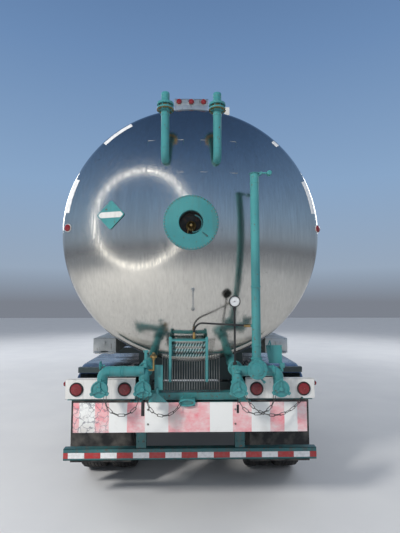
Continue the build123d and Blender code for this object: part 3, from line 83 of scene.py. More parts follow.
class Nodes:
    """A short way to build a material's node tree."""

    def __init__(self, name):
        self.material = bpy.data.materials.new(name)
        self.material.use_nodes = True
        self.tree = self.material.node_tree
        self.shader = self.tree.nodes["Principled BSDF"]
        self.place = self.tree.nodes.new("ShaderNodeTexCoord").outputs["Object"]

    def add(self, kind, inputs=(), **settings):
        """A new node; inputs is a list of (socket name or number, value or other socket)."""
        node = self.tree.nodes.new(kind)
        for key, value in settings.items():
            setattr(node, key, value)
        for socket, value in inputs:
            self.set(node.inputs[socket], value)
        return node

    def set(self, socket, value):
        if isinstance(value, bpy.types.NodeSocket):
            self.tree.links.new(value, socket)
        else:
            socket.default_value = rgba(value) if socket.type == "RGBA" else value

    def noise(self, scale, detail=4.0, stretch=(1, 1, 1), roughness=0.5):
        """Noise between about 0.2 and 0.8, with its place stretched along the axes."""
        mapped = self.add("ShaderNodeMapping", [("Vector", self.place), ("Scale", stretch)])
        return self.add("ShaderNodeTexNoise", [("Vector", mapped.outputs[0]), ("Scale", scale),
                                               ("Detail", detail), ("Roughness", roughness)]).outputs["Fac"]

    def ramp(self, value, low, high, first=0.0, last=1.0):
        """Colour or grey that runs from first at low to last at high."""
        node = self.add("ShaderNodeValToRGB", [("Fac", value)])
        for stop, position, colour in zip(node.color_ramp.elements, (low, high), (first, last)):
            stop.position = position
            stop.color = rgba(colour)
        return node.outputs["Color"]

    def mix(self, share, first, second):
        """Colour mix of first and second."""
        return self.add("ShaderNodeMix", [(0, share), (6, first), (7, second)], data_type="RGBA").outputs[2]

    def maths(self, operation, *values, clamp=False):
        return self.add("ShaderNodeMath", enumerate(values), operation=operation, use_clamp=clamp).outputs[0]

    def along(self, axis):
        """The place along X, Y or Z, in metres."""
        return self.add("ShaderNodeSeparateXYZ", [("Vector", self.place)]).outputs[axis]

    def bump(self, value, distance, strength=0.5):
        node = self.add("ShaderNodeBump", [("Height", value), ("Distance", distance), ("Strength", strength)])
        self.set(self.shader.inputs["Normal"], node.outputs[0])

    def finish(self, **values):
        """Set the shader's own sockets; underscores in a name stand for spaces."""
        for key, value in values.items():
            self.set(self.shader.inputs[key.replace("_", " ")], value)
        return self.material


RUST = (0.13, 0.055, 0.03)
ROAD_DIRT = (0.09, 0.08, 0.065)
# Dark teal of the painted shade under the tank, where the frame runs forward
UNDER_TANK_SHADE = (0.030, 0.050, 0.052)
SHEET_STAIN = (0.20, 0.18, 0.15)
# Bluish grey of the painted twig shadow on the board
TWIG_SHADOW = (0.16, 0.16, 0.20)
# Middle of each pink band on the board and half its width
BOARD_BANDS = [(-0.970, 0.046), (-0.735, 0.058), (-0.452, 0.074), (-0.008, 0.173), (0.438, 0.079),
               (0.733, 0.060), (0.962, 0.058)]
# A painted shadow of twigs, drawn as a net of crack-like lines, lies to the left of this X
TWIG_SHADOW_TO_X = -0.68


def painted(name, base, worn, rust_from=0.66, dirt=0.35, rough=0.42, shade_from_y=None):
    """Enamel with faded patches, fine scratches, rust spots and road dirt towards the ground.

    Forward of the Y given for it, where the frame runs under the tank, the enamel is darkened to a painted
    shade.
    """
    nodes = Nodes(name)
    colour = nodes.mix(nodes.ramp(nodes.noise(2.6, 6), 0.35, 0.7), base, worn)
    spots = nodes.ramp(nodes.noise(38, 7, roughness=0.62), rust_from, rust_from + 0.05)
    colour = nodes.mix(spots, colour, RUST)
    streaks = nodes.ramp(nodes.noise(9, 5, stretch=(3, 3, 0.35)), 0.48, 0.75)
    low = nodes.maths("MULTIPLY_ADD", nodes.along("Z"), -0.35, 0.55)
    grime = nodes.maths("MULTIPLY", nodes.maths("MAXIMUM", low, 0.12), streaks)
    grime = nodes.maths("MULTIPLY", grime, 2.4 * dirt, clamp=True)
    colour = nodes.mix(grime, colour, ROAD_DIRT)
    # Painted shade: the enamel turns dark forward of the given Y, where the tank hangs over it
    if shade_from_y is not None:
        forward = nodes.maths("SUBTRACT", nodes.along("Y"), shade_from_y)
        colour = nodes.mix(nodes.ramp(forward, 0.0, 0.3), colour, UNDER_TANK_SHADE)
    gloss = nodes.ramp(nodes.noise(14, 5), 0.3, 0.75, rough - 0.1, rough + 0.25)
    nodes.bump(nodes.noise(60, 6), 0.0006)
    return nodes.finish(Base_Color=colour, Roughness=gloss, Coat_Weight=0.15, Coat_Roughness=0.25)


def jacket_metal():
    """Spun and polished stainless sheet: fine vertical wipe marks, slight waves and water spots."""
    nodes = Nodes("jacket_metal")
    streaks = nodes.noise(30, 8, stretch=(2.2, 2.2, 0.10), roughness=0.65)
    broad = nodes.noise(3.4, 4, stretch=(2.6, 2.6, 0.5))
    colour = nodes.ramp(streaks, 0.32, 0.72, (0.64, 0.62, 0.57), (0.52, 0.50, 0.46))
    colour = nodes.mix(nodes.ramp(broad, 0.5, 0.9), colour, (0.50, 0.48, 0.44))
    spots = nodes.ramp(nodes.noise(46, 6, stretch=(1, 1, 0.6)), 0.68, 0.74)
    colour = nodes.mix(spots, colour, (0.34, 0.33, 0.30))
    rough = nodes.ramp(streaks, 0.25, 0.8, 0.08, 0.26)
    nodes.bump(nodes.mix(0.9, broad, streaks), 0.0009, 0.30)
    return nodes.finish(Base_Color=colour, Metallic=1.0, Roughness=rough, Anisotropic=0.15)


def sheet_metal(name, base, dull, rough=0.38, metallic=1.0):
    """Aluminium or steel sheet with cloudy oxide, stains and fine scratches."""
    nodes = Nodes(name)
    clouds = nodes.ramp(nodes.noise(6, 6), 0.35, 0.7)
    colour = nodes.mix(clouds, base, dull)
    stains = nodes.ramp(nodes.noise(24, 7, stretch=(2, 2, 0.4)), 0.6, 0.72)
    colour = nodes.mix(stains, colour, SHEET_STAIN)
    gloss = nodes.ramp(clouds, 0.0, 1.0, rough - 0.1, rough + 0.2)
    nodes.bump(nodes.noise(90, 5), 0.0004)
    return nodes.finish(Base_Color=colour, Metallic=metallic, Roughness=gloss)


def rubber(name, base, dusty, rough=0.75):
    """Rubber with dust in its hollows and a fine grain."""
    nodes = Nodes(name)
    colour = nodes.mix(nodes.ramp(nodes.noise(11, 6), 0.42, 0.74), base, dusty)
    nodes.bump(nodes.noise(170, 4), 0.0005)
    return nodes.finish(Base_Color=colour, Roughness=rough)


def lens_plastic():
    """Dark red moulded lens, dusty, with fine ribs under a gloss."""
    nodes = Nodes("lens_plastic")
    ribs = nodes.add("ShaderNodeTexWave", [("Vector", nodes.place), ("Scale", 95.0)],
                     bands_direction="DIAGONAL")
    dust = nodes.ramp(nodes.noise(60, 5), 0.4, 0.8)
    colour = nodes.mix(dust, (0.17, 0.004, 0.008), (0.25, 0.018, 0.022))
    nodes.bump(ribs.outputs["Fac"], 0.0008, 0.6)
    return nodes.finish(Base_Color=colour, Roughness=0.25, Coat_Weight=0.4, Coat_Roughness=0.12)


def board_paint():
    """White board with bands of faded red, rubbed thin, stained, and with a painted shadow of twigs at its
    left end, drawn as a net of crack-like lines.
    """
    nodes = Nodes("board_paint")
    across = nodes.along("X")
    across = nodes.maths("ADD", across, nodes.maths("MULTIPLY", nodes.noise(9, 5), 0.010))
    band = None
    for middle, half_width in BOARD_BANDS:
        gap = nodes.maths("ABSOLUTE", nodes.maths("SUBTRACT", across, middle))
        inside = nodes.maths("LESS_THAN", gap, half_width)
        band = inside if band is None else nodes.maths("MAXIMUM", band, inside)
    thin = nodes.ramp(nodes.noise(7, 8, stretch=(1, 1, 1.6), roughness=0.68), 0.34, 0.66, 1.0, 0.22)
    colour = nodes.mix(nodes.maths("MULTIPLY", band, thin), (0.80, 0.81, 0.80), (0.80, 0.24, 0.28))
    stains = nodes.ramp(nodes.noise(4.5, 7), 0.52, 0.8)
    colour = nodes.mix(stains, colour, (0.60, 0.57, 0.54))
    # Painted shadow of twigs: a net of thin bluish lines in patches, left of the given X
    waves = nodes.add("ShaderNodeTexNoise", [("Vector", nodes.place), ("Scale", 14.0), ("Detail", 3.0)])
    bent = nodes.mix(0.10, nodes.place, waves.outputs["Color"])
    cells = nodes.add("ShaderNodeTexVoronoi", [("Vector", bent), ("Scale", 19.0)], feature="DISTANCE_TO_EDGE")
    line = nodes.ramp(cells.outputs["Distance"], 0.0, 0.065, 1.0, 0.0)
    left_end = nodes.maths("LESS_THAN", across, TWIG_SHADOW_TO_X)
    patches = nodes.ramp(nodes.noise(5, 4), 0.34, 0.50)
    twig_shadow_mask = nodes.maths("MULTIPLY", nodes.maths("MULTIPLY", line, left_end), patches)
    colour = nodes.mix(twig_shadow_mask, colour, TWIG_SHADOW)
    nodes.bump(nodes.noise(40, 6), 0.0005)
    return nodes.finish(Base_Color=colour, Roughness=0.45, Coat_Weight=0.1)


def dial_face():
    """Pale dial with a dusty glass over it."""
    nodes = Nodes("dial_face")
    colour = nodes.mix(nodes.ramp(nodes.noise(80, 4), 0.4, 0.8), (0.78, 0.80, 0.82), (0.62, 0.64, 0.66))
    return nodes.finish(Base_Color=colour, Roughness=0.3, Coat_Weight=0.8, Coat_Roughness=0.05)


def tape(name, base):
    """Reflective tape: fine honeycomb under a gloss."""
    nodes = Nodes(name)
    cells = nodes.add("ShaderNodeTexVoronoi", [("Vector", nodes.place), ("Scale", 260.0)])
    worn = nodes.ramp(nodes.noise(30, 6), 0.45, 0.75)
    colour = nodes.mix(worn, base, tuple(0.72 * part + 0.05 for part in base))
    nodes.bump(cells.outputs["Distance"], 0.0003)
    return nodes.finish(Base_Color=colour, Roughness=0.35, Coat_Weight=0.4, Coat_Roughness=0.15)


TEAL = painted("teal_enamel", (0.036, 0.215, 0.228), (0.066, 0.295, 0.300), dirt=0.7, rust_from=0.63)
# Frame enamel with painted shade forward of Y -4.85, under the tank
TEAL_FRAME_SHADED = painted("teal_enamel_frame", (0.032, 0.190, 0.200), (0.055, 0.245, 0.248), dirt=1.0,
                     rust_from=0.60, shade_from_y=-4.85)
TEAL_DARK = painted("teal_enamel_dark", (0.018, 0.110, 0.120), (0.038, 0.160, 0.165), rust_from=0.6, dirt=0.9)
WHITE = painted("white_enamel", (0.76, 0.76, 0.75), (0.60, 0.60, 0.57), dirt=0.75, rust_from=0.68)
DARK = painted("chassis_black", (0.020, 0.022, 0.024), (0.055, 0.055, 0.052), rust_from=0.58, dirt=1.1,
               rough=0.55)
JACKET = jacket_metal()
BRASS = sheet_metal("dull_brass", (0.52, 0.34, 0.13), (0.30, 0.20, 0.11), 0.42)
# Polished sheet with its base darkened as a painted shade, as the fenders sit in shade
FENDER_SHEET_SHADED = sheet_metal("fender_sheet", (0.40, 0.41, 0.43), (0.26, 0.27, 0.29), 0.22)
TRAY_SHEET = sheet_metal("tray_sheet", (0.62, 0.62, 0.60), (0.46, 0.46, 0.44), 0.5)
WHEEL_METAL = sheet_metal("wheel_metal", (0.58, 0.59, 0.60), (0.38, 0.38, 0.37), 0.34)
CHAIN_METAL = sheet_metal("chain_metal", (0.20, 0.19, 0.18), (0.10, 0.085, 0.07), 0.5)
# Bar steel darkened as a painted shade, as the cage bars sit in shade; the tray straps and flap strips share
# it
BAR_METAL_SHADED = sheet_metal("bar_metal", (0.34, 0.35, 0.34), (0.16, 0.15, 0.14), 0.45)
FIN_METAL = sheet_metal("fin_metal", (0.46, 0.62, 0.61), (0.30, 0.44, 0.43), 0.42, metallic=0.3)
BOLT_METAL = sheet_metal("bolt_metal", (0.40, 0.40, 0.38), (0.20, 0.15, 0.11), 0.5)
BRACKET_METAL = sheet_metal("bracket_metal", (0.72, 0.72, 0.70), (0.55, 0.55, 0.52), 0.5)
TYRE = rubber("tyre_rubber", (0.018, 0.018, 0.019), (0.075, 0.070, 0.062))
SLEEVE = rubber("sleeve_rubber", (0.012, 0.012, 0.013), (0.04, 0.04, 0.038), 0.55)
FLAP_RUBBER = rubber("flap_rubber", (0.020, 0.020, 0.021), (0.10, 0.095, 0.085))
LENS = lens_plastic()
BOARD = board_paint()
DIAL = dial_face()
TAPE_WHITE = tape("tape_white", (0.80, 0.81, 0.82))
TAPE_RED = tape("tape_red", (0.42, 0.018, 0.020))


# Mesh helpers


def turned(axis):
    """A unit axis and two directions square to it."""
    axis = Vector(axis).normalized()
    level = axis.orthogonal().normalized()
    return axis, level, axis.cross(level)


def circle(count, first=0.0):
    """Cosine and sine at equal steps of a turn."""
    return [(cos(first + 2 * pi * k / count), sin(first + 2 * pi * k / count)) for k in range(count)]


def span(side, near, far):
    """Low and high X of what reaches from near to far on one side."""
    return sorted((side * near, side * far))


def facing_rear(angle):
    """Outward and crosswise directions at an angle on a round thing that faces the rear."""
    return Vector((cos(angle), 0, sin(angle))), Vector((-sin(angle), 0, cos(angle)))


def flat(centre, level, upward, outline):
    """Points of an outline that is given along two directions."""
    return [centre + level * a + upward * b for a, b in outline]


class Shape:
    """Vertices and faces that grow by simple forms."""

    def __init__(self):
        self.vertices = []
        self.faces = []

    def grid(self, rows, closed_rows=False, closed_columns=True):
        """Faces between rows of equally many points."""
        start = len(self.vertices)
        width = len(rows[0])
        for row in rows:
            self.vertices.extend(row)
        for r in range(len(rows) if closed_rows else len(rows) - 1):
            for c in range(width if closed_columns else width - 1):
                here, right = start + r * width + c, start + r * width + (c + 1) % width
                below = start + (r + 1) % len(rows) * width
                self.faces.append((here, right, below + (c + 1) % width, below + c))
        return self

    def cap(self, first, count):
        """One face over a ring of points."""
        self.faces.append(tuple(range(first, first + count)))

    def closed(self, rows):
        """A grid with a face over its first and its last ring."""
        start, width = len(self.vertices), len(rows[0])
        self.grid(rows)
        self.cap(start, width)
        self.cap(len(self.vertices) - width, width)
        return self

    def lathe(self, origin, axis, profile, segments=48, closed=False, caps=False):
        """Rings round an axis; profile is a list of (radius, height)."""
        axis, level, other = turned(axis)
        ring = circle(segments)
        rows = [[Vector(origin) + axis * rise + (level * a + other * b) * radius for a, b in ring]
                for radius, rise in profile]
        return self.closed(rows) if caps else self.grid(rows, closed_rows=closed)

    def rod(self, start, end, radius, segments=16):
        """A round bar with flat ends."""
        along = Vector(end) - Vector(start)
        return self.lathe(start, along, [(radius, 0), (radius, along.length)], segments, caps=True)

    def tube(self, points, radius, bend, segments=32, arc_step=radians(9)):
        """A round pipe along runs joined by arcs."""
        route = rounded(points, bend, arc_step)
        rows = []
        side = None
        for number, place in enumerate(route):
            before, after = route[max(number - 1, 0)], route[min(number + 1, len(route) - 1)]
            along = (after - before).normalized()
            side = along.orthogonal() if side is None else side - along * side.dot(along)
            side.normalize()
            other = along.cross(side)
            rows.append([place + (side * a + other * b) * radius for a, b in circle(segments)])
        return self.closed(rows)

    def hoop(self, stations, radius, sides):
        """A closed round bar through stations of (centre, outward, across)."""
        return self.grid([[centre + (out * a + across * b) * radius for a, b in circle(sides)]
                          for centre, out, across in stations], closed_rows=True)

    def box(self, low, high, bevel=0.0015):
        """A box with small chamfers on its edges."""
        edit = bmesh.new()
        bmesh.ops.create_cube(edit, size=1)
        for vertex in edit.verts:
            for k in range(3):
                vertex.co[k] = low[k] if vertex.co[k] < 0 else high[k]
        if bevel:
            bmesh.ops.bevel(edit, geom=list(edit.edges), offset=bevel, segments=2, profile=0.6,
                            affect="EDGES")
        start = len(self.vertices)
        edit.verts.ensure_lookup_table()
        self.vertices.extend(vertex.co.copy() for vertex in edit.verts)
        self.faces.extend(tuple(start + vertex.index for vertex in face.verts) for face in edit.faces)
        edit.free()
        return self

    def slab(self, outline, direction):
        """A flat plate: its outline pushed along a direction."""
        direction = Vector(direction)
        return self.closed([[Vector(p) for p in outline], [Vector(p) + direction for p in outline]])

    def bolt(self, place, axis, width, rise):
        """A hexagon head with a chamfered top on a washer."""
        self.lathe(place, axis, [(0.62 * width, 0), (0.62 * width, 0.18 * rise)], 18, caps=True)
        head = [(0.56 * width, 0.18 * rise), (0.56 * width, 0.88 * rise), (0.48 * width, rise)]
        return self.lathe(place, axis, head, 6, caps=True)

    def bolts(self, centre, axis, radius, count, width, rise, first=0.0):
        """A ring of bolts."""
        axis, level, other = turned(axis)
        for a, b in circle(count, first):
            self.bolt(Vector(centre) + (level * a + other * b) * radius, axis, width, rise)
        return self

    def band(self, place, axis, radius, proud=0.0022, half=0.005):
        """A weld bead or clamp band round a pipe."""
        sunk, high = radius - 0.001, radius + proud
        profile = [(sunk, -half), (high, -half * 0.5), (high, half * 0.5), (sunk, half)]
        return self.lathe(place, axis, profile, 40)

    def collar(self, place, axis, radius, length, sides=40):
        """A sleeve with chamfered ends."""
        profile = [(radius - 0.006, 0), (radius, 0.004), (radius, length - 0.004), (radius - 0.006, length)]
        return self.lathe(place, axis, profile, sides, caps=True)

    def make(self, name, material, slot, body="root", replaces=(), smooth=32):
        """The mesh object; it rides on a body and takes a finish."""
        mesh = bpy.data.meshes.new(name)
        mesh.from_pydata([tuple(v) for v in self.vertices], [], self.faces)
        mesh.validate()
        edit = bmesh.new()
        edit.from_mesh(mesh)
        bmesh.ops.recalc_face_normals(edit, faces=edit.faces)
        edit.to_mesh(mesh)
        edit.free()
        mesh.shade_smooth()
        mesh.set_sharp_from_angle(angle=radians(smooth))
        mesh.materials.append(material)
        thing = bpy.data.objects.new(name, mesh)
        bpy.context.scene.collection.objects.link(thing)
        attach(thing, body)
        if replaces:
            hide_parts(*replaces)


def rounded(points, bend, arc_step):
    """The route with an arc at each corner."""
    points = [Vector(p) for p in points]
    route = [points[0]]
    for before, corner, after in zip(points, points[1:], points[2:]):
        inward, outward = (before - corner).normalized(), (after - corner).normalized()
        half = inward.angle(outward) / 2
        if half > radians(89.5):
            continue
        setback = bend * cos(half) / sin(half)
        centre = corner + (inward + outward).normalized() * bend / sin(half)
        first, last = corner + inward * setback - centre, corner + outward * setback - centre
        turn = pi - 2 * half
        steps = max(2, ceil(turn / arc_step))
        for step in range(steps + 1):
            share = step / steps
            route.append(centre + first * sin((1 - share) * turn) / sin(turn)
                         + last * sin(share * turn) / sin(turn) if turn > 0.02 else corner)
    route.append(points[-1])
    return route


def head_y(radius):
    """Y of the rear head's surface at a distance from the tank's axis."""
    if radius <= CROWN_EDGE:
        return REAR_APEX_Y + CROWN_RADIUS - sqrt(CROWN_RADIUS**2 - radius**2)
    return REAR_TANGENT_Y - sqrt(max(0.0, KNUCKLE_RADIUS**2 - (radius - KNUCKLE_REACH) ** 2))


def on_head(x, z, proud=0.0):
    """A point on the rear head, moved out along its normal."""
    rise = z - TANK_AXIS_Z
    radius = sqrt(x * x + rise * rise)
    here = Vector((x, head_y(radius), z))
    if radius <= CROWN_EDGE:
        centre = Vector((0, REAR_APEX_Y + CROWN_RADIUS, TANK_AXIS_Z))
    else:
        share = KNUCKLE_REACH / radius
        centre = Vector((x * share, REAR_TANGENT_Y, TANK_AXIS_Z + rise * share))
    return here + (here - centre).normalized() * proud


def off_head(x, z):
    """The outward direction at a point on the rear head."""
    return (on_head(x, z, 0.1) - on_head(x, z)).normalized()


# Tank jacket

JACKET_SEGMENTS = 256
SEAM_DEPTH = 0.0015
SEAM_HALF_WIDTH = 0.004
SEAM_COUNT = 4
HEAD_HOLE_RADIUS = 0.150
CROWN_STEPS = 32
KNUCKLE_STEPS = 14
# Groove where the jacket's rim laps over: depth, and distance from the end of the barrel
RIM_GROOVE = ((0.0018, 0.010), (0.0040, 0.007), (0.0018, 0.004))


def barrel():
    """Smooth barrel with the lapped seams of its wraps."""
    profile = [(TANK_RADIUS, FRONT_TANGENT_Y)]
    for number in range(SEAM_COUNT):
        seam_y = FRONT_TANGENT_Y - (FRONT_TANGENT_Y - REAR_TANGENT_Y) * (number + 1) / (SEAM_COUNT + 1)
        for share, depth in ((1, 0), (0.5, SEAM_DEPTH), (-0.5, SEAM_DEPTH), (-1, 0)):
            profile.append((TANK_RADIUS - depth, seam_y + share * SEAM_HALF_WIDTH))
    profile.append((TANK_RADIUS, REAR_TANGENT_Y))
    shape = Shape().lathe((0, 0, TANK_AXIS_Z), Y_AXIS, profile, JACKET_SEGMENTS)
    shape.make("jacket_barrel", JACKET, "jacket_steel", replaces=["tank_barrel"])


def dished_head(name, tangent_y, direction, hole, node):
    """Crown and knuckle of a head, with a shallow groove at its rim."""
    edge = asin(KNUCKLE_REACH / (CROWN_RADIUS - KNUCKLE_RADIUS))
    first = asin(hole / CROWN_RADIUS) if hole else 0.002
    profile = []
    for step in range(CROWN_STEPS + 1):
        angle = first + (edge - first) * step / CROWN_STEPS
        profile.append((CROWN_RADIUS * sin(angle), HEAD_DEPTH - CROWN_RADIUS * (1 - cos(angle))))
    for step in range(1, KNUCKLE_STEPS + 1):
        angle = edge + (pi / 2 - edge) * step / KNUCKLE_STEPS
        profile.append((KNUCKLE_REACH + KNUCKLE_RADIUS * sin(angle), KNUCKLE_RADIUS * cos(angle)))
    profile[-2:-1] = [(TANK_RADIUS - depth, rise) for depth, rise in RIM_GROOVE]
    shape = Shape().lathe((0, tangent_y, TANK_AXIS_Z), Y_AXIS * direction, profile, JACKET_SEGMENTS)
    if not hole:
        shape.cap(0, JACKET_SEGMENTS)
    shape.make(name, JACKET, "jacket_steel", replaces=[node])


barrel()
dished_head("jacket_head_rear", REAR_TANGENT_Y, -1, HEAD_HOLE_RADIUS, "tank_head_rear")
dished_head("jacket_head_front", FRONT_TANGENT_Y, 1, 0, "tank_head_front")


# Manway on the rear head

RING_LOW, RING_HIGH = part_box("manway_ring")
MANWAY_Z = (RING_LOW.z + RING_HIGH.z) / 2
MANWAY_FACE_Y = RING_LOW.y
MANWAY_RADIUS = 0.2375
MANWAY_HOLE = 0.1035
MANWAY_EDGE_Y = REAR_APEX_Y + 0.01
POCKET_FLOOR_Y = REAR_APEX_Y + 0.118
RIM_BOLTS = 48


def manway():
    """Bolted ring plate, the dark pocket behind it, the valve inside and the lever of its clamp."""
    centre = Vector((0, 0, MANWAY_Z))
    back, face = -head_y(MANWAY_RADIUS) - 0.004, -MANWAY_FACE_Y
    plate = Shape().lathe(centre, -Y_AXIS, [
        (MANWAY_RADIUS - 0.004, back), (MANWAY_RADIUS, back), (MANWAY_RADIUS, face - 0.003),
        (MANWAY_RADIUS - 0.003, face), (MANWAY_HOLE + 0.004, face), (MANWAY_HOLE, face - 0.004),
        (MANWAY_HOLE, -MANWAY_EDGE_Y)], 96)
    plate.make("manway_plate", TEAL, "teal_paint", replaces=["manway_ring"])
    rim = Shape().bolts((0, MANWAY_FACE_Y + 0.0015, MANWAY_Z), -Y_AXIS, MANWAY_RADIUS - 0.009, RIM_BOLTS,
                        0.0115, 0.0045)
    rim.make("manway_bolts", BOLT_METAL, "teal_paint")
    # The pocket takes black paint in place of its teal: painted shade inside the recess
    pocket = Shape().lathe(centre, -Y_AXIS, [(MANWAY_HOLE, -MANWAY_EDGE_Y), (MANWAY_HOLE, -POCKET_FLOOR_Y),
                                             (0.001, -POCKET_FLOOR_Y)], 64)
    pocket.make("manway_pocket", DARK, "teal_paint")

    core = Shape().lathe((0, POCKET_FLOOR_Y, MANWAY_Z - 0.015), -Y_AXIS, [
        (0.001, 0.001), (0.044, 0.001), (0.044, 0.045), (0.030, 0.052), (0.030, 0.070), (0.022, 0.078),
        (0.012, 0.094), (0.001, 0.096)], 32)
    for low_x, high_x, out, low, high, radius in ((-0.030, -0.020, 0.060, -0.085, 0.005, 0.007),
                                                  (0.018, 0.006, 0.062, -0.080, 0.012, 0.006)):
        core.rod((low_x, POCKET_FLOOR_Y - out, MANWAY_Z + low),
                 (high_x, POCKET_FLOOR_Y - out, MANWAY_Z + high), radius)
    core.make("manway_valve", BRASS, "dull_brass", replaces=["manway_core"])

    clamp = Shape()
    centre = Vector((0.022, MANWAY_FACE_Y + 0.020, MANWAY_Z - 0.010))
    arc = [centre + facing_rear(radians(-100 + 14 * k))[0] * 0.074 for k in range(14)]
    clamp.tube(arc, 0.0060, 0.004, 10)
    handle = [(0.045, 0, -0.055), (0.085, -0.018, -0.085), (0.118, -0.020, -0.112)]
    clamp.tube([centre + Vector(p) for p in handle], 0.0075, 0.01, 10)
    clamp.make("manway_clamp_lever", TEAL_DARK, "teal_paint")


manway()


# Pipework

PIPE_RADIUS = 0.0415
PIPE_BEND = 0.050
OUTLET_XS = (0.375, 0.710)
OUTLET_Z = 1.217
MANIFOLD_Z = 1.338
MANIFOLD_Y = REAR_END_Y + 0.130
RISER_Y = REAR_END_Y + 0.710
RISER_END_Z = 1.430
CAP_DEPTH = 0.050
CAP_BACK_Y = REAR_END_Y + CAP_DEPTH
STACK_X = 0.527
STACK_Y = REAR_END_Y + 0.080
STACK_RADIUS = 0.0365
STACK_FOOT_Z, STACK_TOP_Z = 1.450, 2.957
BONNET_Z = 1.364
BONNET_RADIUS = 0.080
CASING_Y = -5.060
YOKE_Y = -5.072


def upright(y, outline):
    """Points of an outline in X and Z on a plane across Y."""
    return [Vector((x, y, z)) for x, z in outline]


def pipes(name, side):
    """Outlets, manifold and riser of one side, with their bands, collars and small valves."""
    inner, outer = (side * x for x in OUTLET_XS)
    shape = Shape()
    for outlet_x, end in ((outer, [(inner, MANIFOLD_Y, MANIFOLD_Z)]),
                          (inner, [(inner, RISER_Y, MANIFOLD_Z), (inner, RISER_Y, RISER_END_Z)])):
        shape.tube([(outlet_x, CAP_BACK_Y, OUTLET_Z), (outlet_x, MANIFOLD_Y, OUTLET_Z),
                    (outlet_x, MANIFOLD_Y, MANIFOLD_Z)] + end, PIPE_RADIUS, PIPE_BEND, 40)
        shape.collar((outlet_x, CAP_BACK_Y, OUTLET_Z), Y_AXIS, 0.054, 0.022)
        shape.band((outlet_x, MANIFOLD_Y, (OUTLET_Z + MANIFOLD_Z) / 2), Z_AXIS, PIPE_RADIUS)
    for share, proud in ((0.22, 0.002), (0.50, 0.0035), (0.56, 0.0035), (0.82, 0.002)):
        shape.band((inner + (outer - inner) * share, MANIFOLD_Y, MANIFOLD_Z), X_AXIS, PIPE_RADIUS, proud)
    for flange_y in (MANIFOLD_Y + 0.10, MANIFOLD_Y + 0.124):
        shape.collar((inner, flange_y, MANIFOLD_Z), Y_AXIS, 0.062, 0.020)
    shape.bolts((inner, MANIFOLD_Y + 0.10, MANIFOLD_Z), -Y_AXIS, 0.054, 8, 0.010, 0.008)
    for clamp_y in (RISER_Y - 0.12, RISER_Y - 0.30):
        shape.band((inner, clamp_y, MANIFOLD_Z), Y_AXIS, PIPE_RADIUS, 0.004, 0.012)
    if side < 0:
        left_valves(shape, inner, outer)
    else:
        right_valves(shape, inner)
    shape.make(f"pipework_{name}", TEAL, "teal_paint", replaces=[f"piping_{name}"])


def left_valves(shape, inner, outer):
    """Lever valve on the inner elbow, a handwheel seen on edge at the outer one, and the pump casing."""
    stem = Vector((inner + 0.010, MANIFOLD_Y, 0))
    shape.rod(stem + Z_AXIS * (MANIFOLD_Z + 0.030), stem + Z_AXIS * 1.420, 0.016, 20)
    shape.collar(stem + Z_AXIS * 1.402, Z_AXIS, 0.024, 0.024, 6)
    shape.box(stem + Vector((-0.011, -0.005, 1.424)), stem + Vector((0.011, 0.005, 1.500)), 0.002)
    shape.box(stem + Vector((-0.021, -0.008, 1.488)), stem + Vector((0.021, 0.008, 1.507)), 0.003)
    wheel = Vector((outer - 0.018, MANIFOLD_Y, 1.385))
    spindle_z = MANIFOLD_Z + 0.045
    shape.rod((wheel.x - 0.004, MANIFOLD_Y, spindle_z), (outer + 0.02, MANIFOLD_Y, spindle_z), 0.008)
    shape.lathe(wheel, X_AXIS, [(0.032 + 0.0045 * a, 0.0045 * b) for a, b in circle(12)], 36, closed=True)
    for a, b in circle(4):
        shape.rod(wheel, wheel + Vector((0, a, b)) * 0.032, 0.0032, 10)
    shape.box((-0.299, MANIFOLD_Y + 0.070, 1.175), (-0.231, MANIFOLD_Y + 0.078, 1.377), 0.002)
    foot = [(-0.355, 1.081), (-0.195, 1.081), (-0.215, 1.100), (-0.262, 1.146), (-0.300, 1.146),
            (-0.330, 1.105)]
    shape.slab(upright(CASING_Y, foot), (0, 0.012, 0))
    shape.rod((-0.275, CASING_Y + 0.004, 1.140), (-0.275, CASING_Y + 0.004, 1.190), 0.012)


